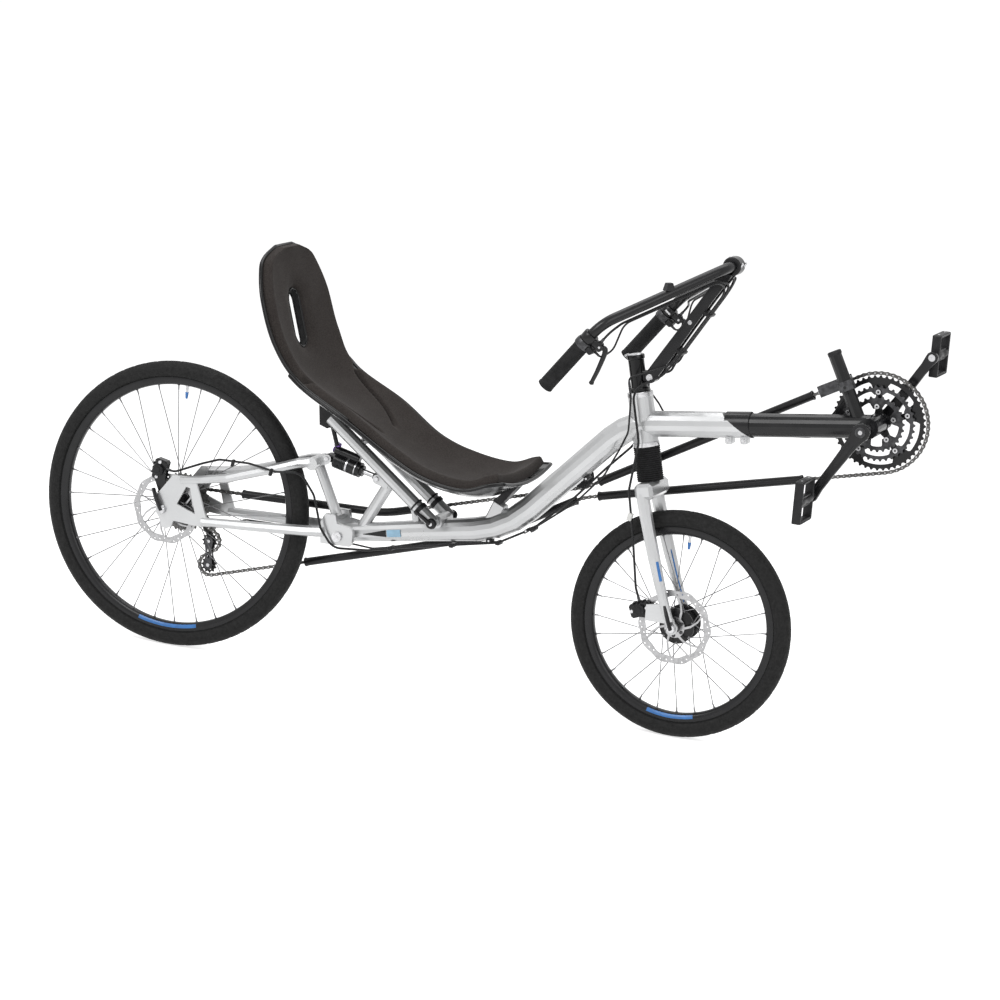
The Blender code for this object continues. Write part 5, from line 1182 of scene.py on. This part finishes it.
def build_cables():
    ferrules = {"steering": bmesh.new(), "frame": bmesh.new()}

    def lay(name, corners, radius, body):
        path = cable_path(corners)
        bm = bmesh.new()
        add_tube(bm, path, radius, 12)
        piece(name, bm, "hose_black", body, [name] if name in NODES else ())
        for a, b in (path[:2], path[:-3:-1]):
            add_rod(ferrules[body], a, a + (b - a).normalized() * 0.011, radius + 0.0009, radius + 0.0006, 12,
                    ease=0.0004)

    down = [at(x, z, y) for x, y, z in FRONT_HOSE_END]
    lay("front_brake_hose", cable_start("hose", -1) + down, HOSE_R, "steering")
    for name, side, lane, reach, radius, rest in (
            ("rear_brake_hose", 1, "hose", HOSE_REACH, HOSE_R, REAR_HOSE_ROUTE),
            ("rear_shift_cable", -1, "shift", SHIFT_REACH, SHIFT_R, REAR_SHIFT_ROUTE),
            ("front_shift_cable", 1, "shift", SHIFT_REACH, SHIFT_R, FRONT_SHIFT_ROUTE)):
        face = HEAD_TOP + STEER_DIR * CABLE_SPLIT + over(side * reach)
        above = [face + STEER_DIR * (0.02 + GAP / 2), face + STEER_DIR * GAP / 2]
        below = [face - STEER_DIR * GAP / 2, face - STEER_DIR * 0.02]
        lay(f"{name}_upper", cable_start(lane, side) + above, radius, "steering")
        lay(f"{name}_lower", below + [at(x, z, y) for x, y, z in rest], radius, "frame")
    for body, bm in ferrules.items():
        piece(f"cable_ferrules_{body}", bm, "dark_steel", body)
    # Ties round the hoses, and their guides under the frame
    bm = bmesh.new()
    for x, z in ((0.52, 0.302), (0.66, 0.3305), (0.765, 0.3525), (0.842, 0.396)):
        add_block(bm, at(x, z - 0.0008, -0.0025), (0.009, 0.026, 0.0085), 0.0, 0.0018)
    for x, z, y in ((0.251, 0.4415, -0.0655), (0.16, 0.4485, -0.0665)):
        add_block(bm, at(x, z - 0.004, y), (0.006, 0.009, 0.016), 0.2, 0.0014)
    piece("cable_guides_frame", bm, "black_plastic", "frame")
    bm = bmesh.new()
    for share in (0.28, 0.62):
        add_block(bm, STEM_HINGE + STEM_RUN * share + STEM_AHEAD * 0.0185, (0.007, 0.04, 0.016), pitch_of(STEM_RUN),
                  0.0015)
    piece("cable_clips_stem", bm, "black_plastic", "steering")
    bm = bmesh.new()
    add_block(bm, at(1.0665, 0.462, -0.0475), (0.01, 0.011, 0.016), 0.25, 0.0016)
    piece("cable_clip_fork", bm, "clip_white", "steering")


def build_bar():
    half = [BAR_FRONT + over(BAR_HALF_FRONT), BAR_BEND + over(BAR_Y), BAR_END + over(BAR_Y)]
    corners = [Vector((spot.x, -spot.y, spot.z)) for spot in reversed(half)] + half
    bm = bmesh.new()
    add_tube(bm, rounded_path(corners, [0.07, 0.055, 0.055, 0.07], step=0.1), BAR_R, 24)
    piece("bar_tube", bm, "black_paint", "steering", ["handlebar"])
    for name, side in (("near", -1), ("far", 1)):
        build_grip(name, side)


def build_grip(name, side):
    """Grip, twist shifter and brake lever at one end of the bar."""
    along, out, lean = GRIP_ALONG, GRIP_OUT, pitch_of(GRIP_ALONG)
    foot = BAR_END + over(side * BAR_Y)
    place = seated(foot, along)
    # Grip: a ribbed sleeve with a closed end flange
    profile = [(0.0, -0.004), (0.015, -0.004), (0.0165, -0.003), (0.0168, 0.001), (0.0158, 0.0022)]
    profile += [(0.0163 if i % 2 else 0.0156, lerp(0.004, GRIP_LENGTH - 0.004, i / 51)) for i in range(52)]
    profile += [(0.0164, GRIP_LENGTH - 0.002), (0.016, GRIP_LENGTH - 0.0002), (BAR_R, GRIP_LENGTH)]
    bm = bmesh.new()
    add_lathe(bm, profile, place, 48, closed=False, wave=lambda i, k: -0.0005 if i % 4 == 0 and 8 < k < 52 else 0.0)
    piece(f"grip_sleeve_{name}", bm, "black_rubber", "steering", [f"grip_{name}"], sharp=25)
    # Twist shifter collar, its pod and pointer
    low, bore = SHIFTER_LOW, BAR_R + GAP
    bm = bmesh.new()
    add_lathe(bm, [(bore, low), (0.0176, low), (0.0186, low + 0.0015), (0.0186, low + 0.012),
                   (0.0174, low + 0.0155), (bore, low + 0.0158)], place, 48,
              wave=lambda i, k: -0.0006 if i % 3 == 0 and k in (2, 3) else 0.0)
    piece(f"shifter_collar_{name}", bm, "dark_steel", "steering", [f"shifter_{name}"], sharp=30)
    bm = bmesh.new()
    pod = foot + along * (low + SHIFTER_LENGTH / 2) + out * 0.02
    add_block(bm, pod, (SHIFTER_LENGTH - 0.003, 0.03, 0.014), lean, 0.003)
    pod -= over(side * 0.0115)
    add_rod(bm, pod + out * 0.004, pod + out * 0.0095, 0.0036, 0.003, 14, ease=0.0004)
    piece(f"shifter_pod_{name}", bm, "black_plastic", "steering", sharp=35)
    # Lever perch, master cylinder and blade
    start, end = PERCH_LOW, PERCH_LOW + PERCH_LENGTH
    bm = bmesh.new()
    add_lathe(bm, [(bore, start), (0.0158, start), (0.0165, start + 0.0012), (0.0165, end - 0.0012), (0.0158, end),
                   (bore, end)], place, 36)
    base = foot + along * (start + PERCH_LENGTH / 2)
    add_block(bm, base + out * 0.0235, (PERCH_LENGTH - 0.002, 0.017, 0.025), lean, 0.004)
    add_rod(bm, base + out * 0.026 - along * 0.008, base + out * 0.026 + along * 0.0115, 0.0078, 0.0062, 20, ease=0.001)
    piece(f"lever_perch_{name}", bm, "black_paint", "steering", sharp=35)
    tip = at(*LEVER_TIP, side * BAR_Y)
    elbow = base + out * 0.042 + along * 0.004
    path = smooth_path([base + out * 0.028, elbow, elbow.lerp(tip, 0.5) + out * 0.002, tip], 8)
    last = len(path) - 1
    back = (path[-2] - tip).normalized()
    bm = bmesh.new()
    add_tube(bm, path, 0.0052, 14, radii=[lerp(1.15, 0.8, i / last) for i in range(last + 1)], flat=1.35)
    add_tube(bm, [tip + back * 0.004, tip, tip - back * 0.0025], 0.0056, 14, radii=[0.85, 1.0, 0.55], flat=1.2)
    piece(f"lever_blade_{name}", bm, "black_paint", "steering", [f"brake_lever_{name}"])
    bm = bmesh.new()
    add_pin(bm, base + out * 0.03 + along * 0.002, -0.0098, 0.0098, 0.0026, sides=12, ease=0.0004)
    clamp = base - over(side * 0.0175)
    add_rod(bm, clamp - out * 0.004, clamp + out * 0.01, 0.0027, sides=10, ease=0.0004)
    piece(f"lever_bolts_{name}", bm, "bright_steel", "steering")


def build_stem():
    hinge, along, ahead = STEM_HINGE, STEM_ALONG, STEM_AHEAD
    stretch = STEM_RUN.length / 0.28
    rows = [(-0.0125, 0), (-0.011, 0.0062), (-0.0062, 0.011), (0.0, 0.0128)]
    rows += [(r * stretch, half) for r, half in ((0.06, 0.0126), (0.13, 0.0112), (0.2, 0.0112), (0.262, 0.0124),
                                                 (0.28, 0.0124))]
    rails, bolts = bmesh.new(), bmesh.new()
    outer = 0.0173
    middle_pin = (BAR_FRONT + hinge) / 2
    for side in (-1, 1):
        add_plate(rails, mirrored_outline(hinge, along, -ahead, rows), [], side * (0.0135 + GAP), 0.007, 0.0012)
        for spot, radius in ((hinge, 0.0078), (middle_pin, 0.0052)):
            add_pin(bolts, spot, side * outer, side * (outer + 0.003), radius, radius * 0.92, 24, ease=0.0006)
            add_pin(bolts, spot, side * (outer + 0.0026), side * (outer + 0.0036), radius * 0.45, sides=6)
        for lift in (-0.0148, 0.0148):
            spot = BAR_FRONT + along * lift * 0.2 + ahead * lift + over(side * 0.0105)
            add_rod(bolts, spot - along * 0.002, spot + along * 0.016, 0.0028, sides=12, ease=0.0005)
    half = [(0.0186, outer - 0.0014), (0.0172, outer), (BAR_R + GAP, outer)]
    add_lathe(rails, [(r, -y) for r, y in reversed(half)] + half, seated(BAR_FRONT), 40)
    add_pin(rails, middle_pin, -0.0172, 0.0172, 0.0078, sides=20, ease=0.0006)
    piece("stem_rails", rails, "black_paint", "steering", ["stem"], sharp=35)
    piece("stem_bolts", bolts, "bright_steel", "steering")
    # Face plate over the bar
    bm = bmesh.new()
    add_lathe(bm, [(0.0187, -0.015), (0.0196, -0.014), (0.0196, 0.014), (0.0187, 0.015)], seated(BAR_FRONT), 40)
    piece("stem_cap", bm, "black_paint", "steering", sharp=35)


def build_riser():
    bm = bmesh.new()
    add_lathe(bm, [(0.0146, 0.0003), (0.0205, 0.0003), (0.021, 0.0016), (0.021, 0.007), (0.02, 0.0084),
                   (0.0172, 0.0096), (0.0169, 0.013), (0.0169, 0.064), (0.0172, 0.0676), (0.0188, 0.0688),
                   (0.019, 0.07), (0.019, 0.0762), (0.0184, 0.0776), (0.0165, 0.078), (0.0146, 0.078)],
              seated(HEAD_TOP, STEER_DIR), 48)
    add_block(bm, STEM_HINGE - Vector((0.01, 0, 0)), (0.026, 0.019, 0.0225), 0.0, 0.003)
    add_pin(bm, STEM_HINGE, -0.01, 0.01, 0.0125, sides=32, ease=0.001)
    piece("riser_tube", bm, "shell_gloss", "steering", ["steering_riser"], sharp=35)
    bm = bmesh.new()
    add_lathe(bm, [(0.0, 0.0006), (0.0038, 0.0006), (0.0038, 0.0022), (0.0064, 0.0026), (0.015, 0.0016),
                   (0.0162, 0.0), (0.0, -0.001)], seated(HEAD_TOP + STEER_DIR * 0.078, STEER_DIR), 36, closed=False)
    piece("riser_top_bolt", bm, "bright_steel", "steering")
    bm = bmesh.new()
    add_pin(bm, HEAD_TOP + STEER_DIR * 0.0735 - Vector((0.019, 0, 0)), -0.009, 0.009, 0.003, sides=14, ease=0.0005)
    piece("riser_pinch_bolt", bm, "bright_steel", "steering")


def build_fork_trim():
    place = seated(HEAD_TOP - STEER_DIR * HEAD_LENGTH, STEER_DIR)
    profile = [(0.0147, -0.072), (0.027, -0.072), (0.028, -0.0708)]
    rib = 0.0655 / 15
    for i in range(15):
        low = -0.0695 + i * rib
        profile += [(0.0262, low), (0.028, low + rib * 0.35), (0.028, low + rib * 0.65)]
    profile += [(0.0262, -0.004), (0.028, -0.003), (0.028, -0.001), (0.0265, -0.0003), (0.0147, -0.0003)]
    bm = bmesh.new()
    add_lathe(bm, profile, place, 56)
    piece("fork_boot_ribbed", bm, "black_rubber", "steering", ["fork_boot"], sharp=28)
    # Headset cups, riding with the frame
    bm = bmesh.new()
    for low, high, r in ((HEAD_LENGTH - 0.01, HEAD_LENGTH - 0.0004, 0.0277), (0.0004, 0.01, 0.0279)):
        add_lathe(bm, [(0.0262, low), (r - 0.0006, low), (r, low + 0.001), (r, high - 0.001), (r - 0.001, high),
                       (0.0262, high)], place, 56)
    piece("headset_cups", bm, "bright_steel", "frame", sharp=35)
    # Axle ends: a quick-release lever on the near side and a nut on the far side
    for name, body, axle, outer, lean in (("front", "steering", FRONT_AXLE, 0.055, Vector((-0.35, 0, 0.94))),
                                          ("rear", "frame", REAR_AXLE, 0.0725, Vector((-0.45, 0, 0.89)))):
        bm = bmesh.new()
        add_pin(bm, axle, -outer - 0.0003, -outer - 0.0085, 0.0095, 0.0085, 28, ease=0.0012)
        add_pin(bm, axle, outer + 0.0003, outer + 0.0088, 0.009, 0.008, 28, ease=0.0012)
        piece(f"axle_ends_{name}", bm, "bright_steel", body, [f"{name}_wheel_axle"], sharp=35)
        start = axle - over(outer + 0.005)
        path = smooth_path([start + lean * r + over(y) for r, y in ((0, 0), (0.01, -0.0022), (0.03, -0.0028),
                                                                     (0.05, 0.0008))], 5)
        bm = bmesh.new()
        add_tube(bm, path, 0.004, 12, radii=[lerp(1.2, 0.9, i / 15) for i in range(16)], flat=1.7)
        piece(f"axle_lever_{name}", bm, "black_paint", body)


# Frame details: shock, calipers, clamps, guides and decals
SHOCK_REAR = at(0.358, 0.476)
SHOCK_FRONT = at(0.478, 0.449)
STRUT_FOOT = at(0.629, 0.381)
STRUT_TOP = at(0.374, 0.573)
STRUT_Y = 0.045
STRUT_R = 0.014
POST_FOOT = at(1.522, 0.722)
POST_TOP = at(1.452, 0.858)
BLADE_LINE = [(1.088, 0.516), (1.093, 0.496), (1.1125, 0.432), (1.143, 0.34), (1.166, 0.278), (1.176, 0.256)]
MAIN_CORNERS = [at(0.407, 0.318), at(0.78, 0.386), at(1.031, 0.649), at(1.24, 0.649 + 0.209 * tan(BOOM_SLOPE))]


def wrap_patch(bm, path, radii, centre, halves):
    """A thin patch laid on a round tube. centre is its angle from the near side and halves its reach at each point."""
    rows = []
    ends = path[:1] + path + path[-1:]
    for spot, before, after, radius, half in zip(path, ends, ends[2:], radii, halves):
        run = (after - before).normalized()
        near = over(-1.0)
        near = (near - run * near.dot(run)).normalized()
        up = run.cross(near)
        angles = [centre + lerp(-half, half, j / 8) for j in range(9)]
        rows.append(add_verts(bm, [spot + (near * cos(a) + up * sin(a)) * (radius + 0.0003) for a in angles]))
    skin(bm, rows, False)


def build_shock():
    rear, front = SHOCK_REAR, SHOCK_FRONT
    along = (front - rear).normalized()
    rise = Vector((-along.z, 0.0, along.x))
    turned, turn = seated(rear, along), pitch_of(along)
    can, bright, knob = bmesh.new(), bmesh.new(), bmesh.new()
    profile = [(0.0, 0.0095), (0.0085, 0.0095), (0.0092, 0.012), (0.015, 0.0124), (0.0166, 0.014)]
    for k in range(7):
        start = 0.0175 + k * 0.003
        profile += [(0.0169, start), (0.0169, start + 0.0016), (0.016, start + 0.0019), (0.016, start + 0.0027)]
    profile += [(0.0169, 0.039), (0.0169, 0.07), (0.0158, 0.0712), (0.0158, 0.0735), (0.0168, 0.0745),
                (0.0168, 0.0772), (0.013, 0.078), (0.0122, 0.08), (0.0122, 0.0838), (0.0086, 0.0842),
                (0.0, 0.0842)]
    add_lathe(can, profile, turned, 40, closed=False)
    start = rear + along * 0.008 + rise * 0.0218
    add_rod(can, start, rear + along * 0.069 + rise * 0.021, 0.0098, sides=28, ease=0.0016)
    add_block(can, rear + along * 0.02 + rise * 0.014, (0.016, 0.014, 0.012), turn, 0.002)
    add_block(can, rear + along * 0.06 + rise * 0.014, (0.008, 0.01, 0.012), turn, 0.001)
    for spot, way in ((rear, 1), (front, -1)):
        add_pin(can, spot, -0.0118, 0.0118, 0.01, sides=28, ease=0.001)
        add_block(can, spot + along * way * 0.0085, (0.012, 0.015, 0.014), turn, 0.002)
        for side in (-1, 1):
            add_pin(bright, spot, side * 0.0112, side * 0.0124, 0.0062, sides=20, ease=0.0003)
            add_pin(bright, spot, side * 0.016, side * 0.0206, 0.006, 0.0056, 6, ease=0.0004)
    piece("shock_body", can, "black_paint", "frame", ["shock"], sharp=35)
    add_rod(bright, rear + along * 0.083, front - along * 0.008, 0.0058, sides=24)
    for low, high in ((0.044, 0.048), (0.066, 0.0676)):
        add_lathe(bright, [(0.0166, low), (0.01715, low), (0.01715, high), (0.0166, high)], turned, 40)
    piece("shock_shaft", bright, "bright_steel", "frame", sharp=35)
    add_lathe(knob, [(0.0, 0.0), (0.0066, 0.0), (0.0078, 0.001), (0.0078, 0.007), (0.0066, 0.0082), (0.0, 0.0084)],
              seated(rear + along * 0.01 + rise * 0.03, rise), 36, closed=False,
              wave=lambda i, k: -0.0006 if i % 3 == 0 and 1 < k < 4 else 0.0)
    add_rod(knob, start - along * 0.004, start + along * 0.001, 0.0068, 0.0078, 24, ease=0.0006)
    piece("shock_knobs", knob, "knob_purple", "frame", sharp=35)


def build_caliper_trim(name, body, spot, turn):
    """Bolts, ribs and piston cap on a caliper's near face."""
    leg = Vector((sin(turn), 0.0, cos(turn)))
    side = Vector((leg.z, 0.0, -leg.x))
    black, steel = bmesh.new(), bmesh.new()
    add_pin(black, spot, -0.0196, -0.0218, 0.0118, 0.0108, 32, ease=0.0006)
    add_pin(black, spot, -0.0216, -0.023, 0.007, sides=6, ease=0.0003)
    for k in (-1, 0, 1):
        add_block(black, spot - side * 0.0156 + leg * k * 0.01 - over(0.002), (0.003, 0.02, 0.005), turn,
                  0.0008)
    piece(f"{name}_cap", black, "black_plastic", body, sharp=35)
    for k in (-1, 1):
        bolt = spot + leg * k * 0.017
        add_pin(steel, bolt, -0.0135, -0.0177, 0.0038, sides=18, ease=0.0005)
        add_pin(steel, bolt, -0.0165, -0.0178, 0.0019, sides=6)
    piece(f"{name}_bolts", steel, "bright_steel", body, sharp=35)


def build_decals():
    start, end = rounded_path(MAIN_CORNERS, [0.22, 0.15])[:2]
    run = (end - start).normalized()
    for name, material, first, step, halves in (
            ("taper", "shell_gloss", 0.052, 0.0045, [lerp(0.03, 0.34, k / 12) for k in range(13)]),
            ("patch", "decal_pale", 0.1085, 0.004, [0.34] * 9)):
        places = [first + step * k for k in range(len(halves))]
        bm = bmesh.new()
        wrap_patch(bm, [start + run * r for r in places], [lerp(0.02, 0.025, r / 0.168) for r in places], 0.1,
                   halves)
        piece(f"frame_decal_{name}", bm, material, "frame")
    bm = bmesh.new()
    blade = [at(x, z, -lerp(0.0555, 0.045, (z - 0.25) / 0.25)) for x, z in BLADE_LINE]
    for side, share, reach, centre, half in ((-1, 0.52, 0.09, -0.7, 0.26), (1, 0.5, 0.3, -0.6, 0.12)):
        spots = []
        shares = [share + reach * k / 8 for k in range(9)]
        for t in shares:
            place = t * (len(blade) - 1)
            i = min(int(place), len(blade) - 2)
            spot = blade[i].lerp(blade[i + 1], place - i)
            spots.append(Vector((spot.x, -side * spot.y, spot.z)))
        wrap_patch(bm, spots, [lerp(0.0145, 0.0095, t) + 0.0004 for t in shares], centre, [half] * 9)
    piece("fork_decals", bm, "decal_blue", "steering")


def build_clamps():
    silver, sleeve, guides, collars, holder, bolts = [bmesh.new() for _ in range(6)]
    # Pinch lugs under the boom's socket, and its black end
    for x, z in ((1.252, 0.648), (1.284, 0.652)):
        add_block(silver, at(x, z), (0.015, 0.026, 0.02), -BOOM_SLOPE, 0.003)
        add_pin(bolts, at(x, z - 0.002), -0.0165, 0.0165, 0.0042, ease=0.0006)
        add_pin(bolts, at(x, z - 0.002), -0.0171, -0.016, 0.0021, sides=6)
    piece("boom_pinch_lugs", silver, "silver_paint", "frame")
    add_lathe(sleeve, [(0.024, 0.0), (0.0268, 0.0), (0.0268, 0.052), (0.0258, 0.053), (0.024, 0.053)],
              seated(at(1.243, 0.649 + 0.212 * tan(BOOM_SLOPE)), ray(BOOM_SLOPE)), 48)
    piece("boom_socket_end", sleeve, "black_paint", "frame", sharp=35)
    # Cable stops and guides along the frame
    for x, z, turn in ((0.745, 0.354, -0.2), (0.827, 0.388, -0.75), (0.842, 0.393, -0.8), (0.951, 0.52, -0.8)):
        add_block(guides, at(x, z, -0.004), (0.013, 0.02, 0.007), turn, 0.0015)
        add_pin(bolts, at(x, z), -0.0145, -0.0132, 0.0022, sides=12)
    piece("frame_cable_guides", guides, "black_plastic", "frame")
    # Seat struts: collars, and a quick release at the foot
    run = (STRUT_TOP - STRUT_FOOT).normalized()
    for side in (-1, 1):
        for place, reach in ((0.036, 0.01), (0.052, 0.004)):
            add_lathe(collars, [(STRUT_R + 0.0002, 0), (STRUT_R + 0.002, 0.0006), (STRUT_R + 0.002, reach - 0.0006),
                                (STRUT_R + 0.0002, reach)],
                      seated(STRUT_FOOT + over(side * STRUT_Y) + run * place, run), 32)
        cap = STRUT_FOOT + over(side * (STRUT_Y + STRUT_R - 0.001))
        add_pin(collars, cap, 0, side * 0.007, 0.012, 0.0105, 28, ease=0.0012)
        add_pin(bolts, cap, side * 0.0066, side * 0.0084, 0.005, sides=6, ease=0.0004)
    hub = STRUT_FOOT - over(STRUT_Y + STRUT_R + 0.0055)
    add_rod(collars, hub, hub + Vector((-0.036, -0.005, 0.025)), 0.0048, 0.0032, 14, ease=0.0012)
    piece("seat_strut_collars", collars, "black_plastic", "frame", sharp=35)
    # Small holder on the near side of the bar
    spot = BAR_FRONT.lerp(BAR_BEND, 0.47) - over(lerp(BAR_HALF_FRONT, BAR_Y, 0.47))
    add_rod(holder, spot + Vector((0, 0, 0.007)), spot + Vector((-0.001, 0, 0.023)), 0.0135, 0.009, 4, ease=0.0012)
    piece("bar_holder", holder, "black_plastic", "steering", sharp=35)
    # Swingarm pivot: washers and hex heads
    for side, face in zip((-1, 1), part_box("pivot_bolt")):
        cap = middle("pivot_bolt")
        cap.y = face[1]
        add_pin(bolts, cap, -side * 0.006, side * 0.0002, 0.0092, 0.0086, 24, ease=0.0006)
        add_pin(bolts, cap, 0, side * 0.0008, 0.004, sides=6)
    piece("frame_bolts", bolts, "bright_steel", "frame", sharp=35)


def build_post():
    """Cap and front derailleur clamp screws on the boom's post."""
    run = (POST_TOP - POST_FOOT).normalized()
    bm = bmesh.new()
    add_lathe(bm, [(0.0, 0.001), (0.0118, 0.001), (0.0136, 0.0002), (0.0147, -0.0014), (0.0147, -0.007),
                   (0.0141, -0.008)], seated(POST_TOP, run), 32, closed=False)
    for lift in (-0.006, 0.006):
        add_pin(bm, POST_FOOT.lerp(POST_TOP, 0.46) + run * lift, -0.019, -0.012, 0.0032, sides=14, ease=0.0005)
    piece("post_cap", bm, "black_plastic", "frame", sharp=35)


make_camera()
make_world()
make_floor()
make_lamp("key", at(-0.6, 3.4, -3.2), (2.4, 2.0), 80.0)
make_lamp("fill", at(3.6, 2.4, -2.4), (2.2, 2.2), 34.0)
make_lamp("top", at(0.8, 3.8, 0.8), (3.0, 2.0), 50.0)
dress_nodes()
build_wheels()
build_seat()
ARCS = chain_arcs()
build_chain_tubes(ARCS)
build_chain(ARCS)
build_cassette()
build_chainrings()
build_cranks()
build_idler()
build_rear_derailleur()
build_cables()
build_bar()
build_stem()
build_riser()
build_fork_trim()
build_shock()
build_caliper_trim("rear_caliper", "frame", at(-0.018, 0.404, -0.0521), 0.2)
build_caliper_trim("front_caliper", "steering", at(1.106, 0.27, -0.0346), 1.2)
build_decals()
build_clamps()
build_post()

bpy.context.scene.view_settings.view_transform = "Standard"
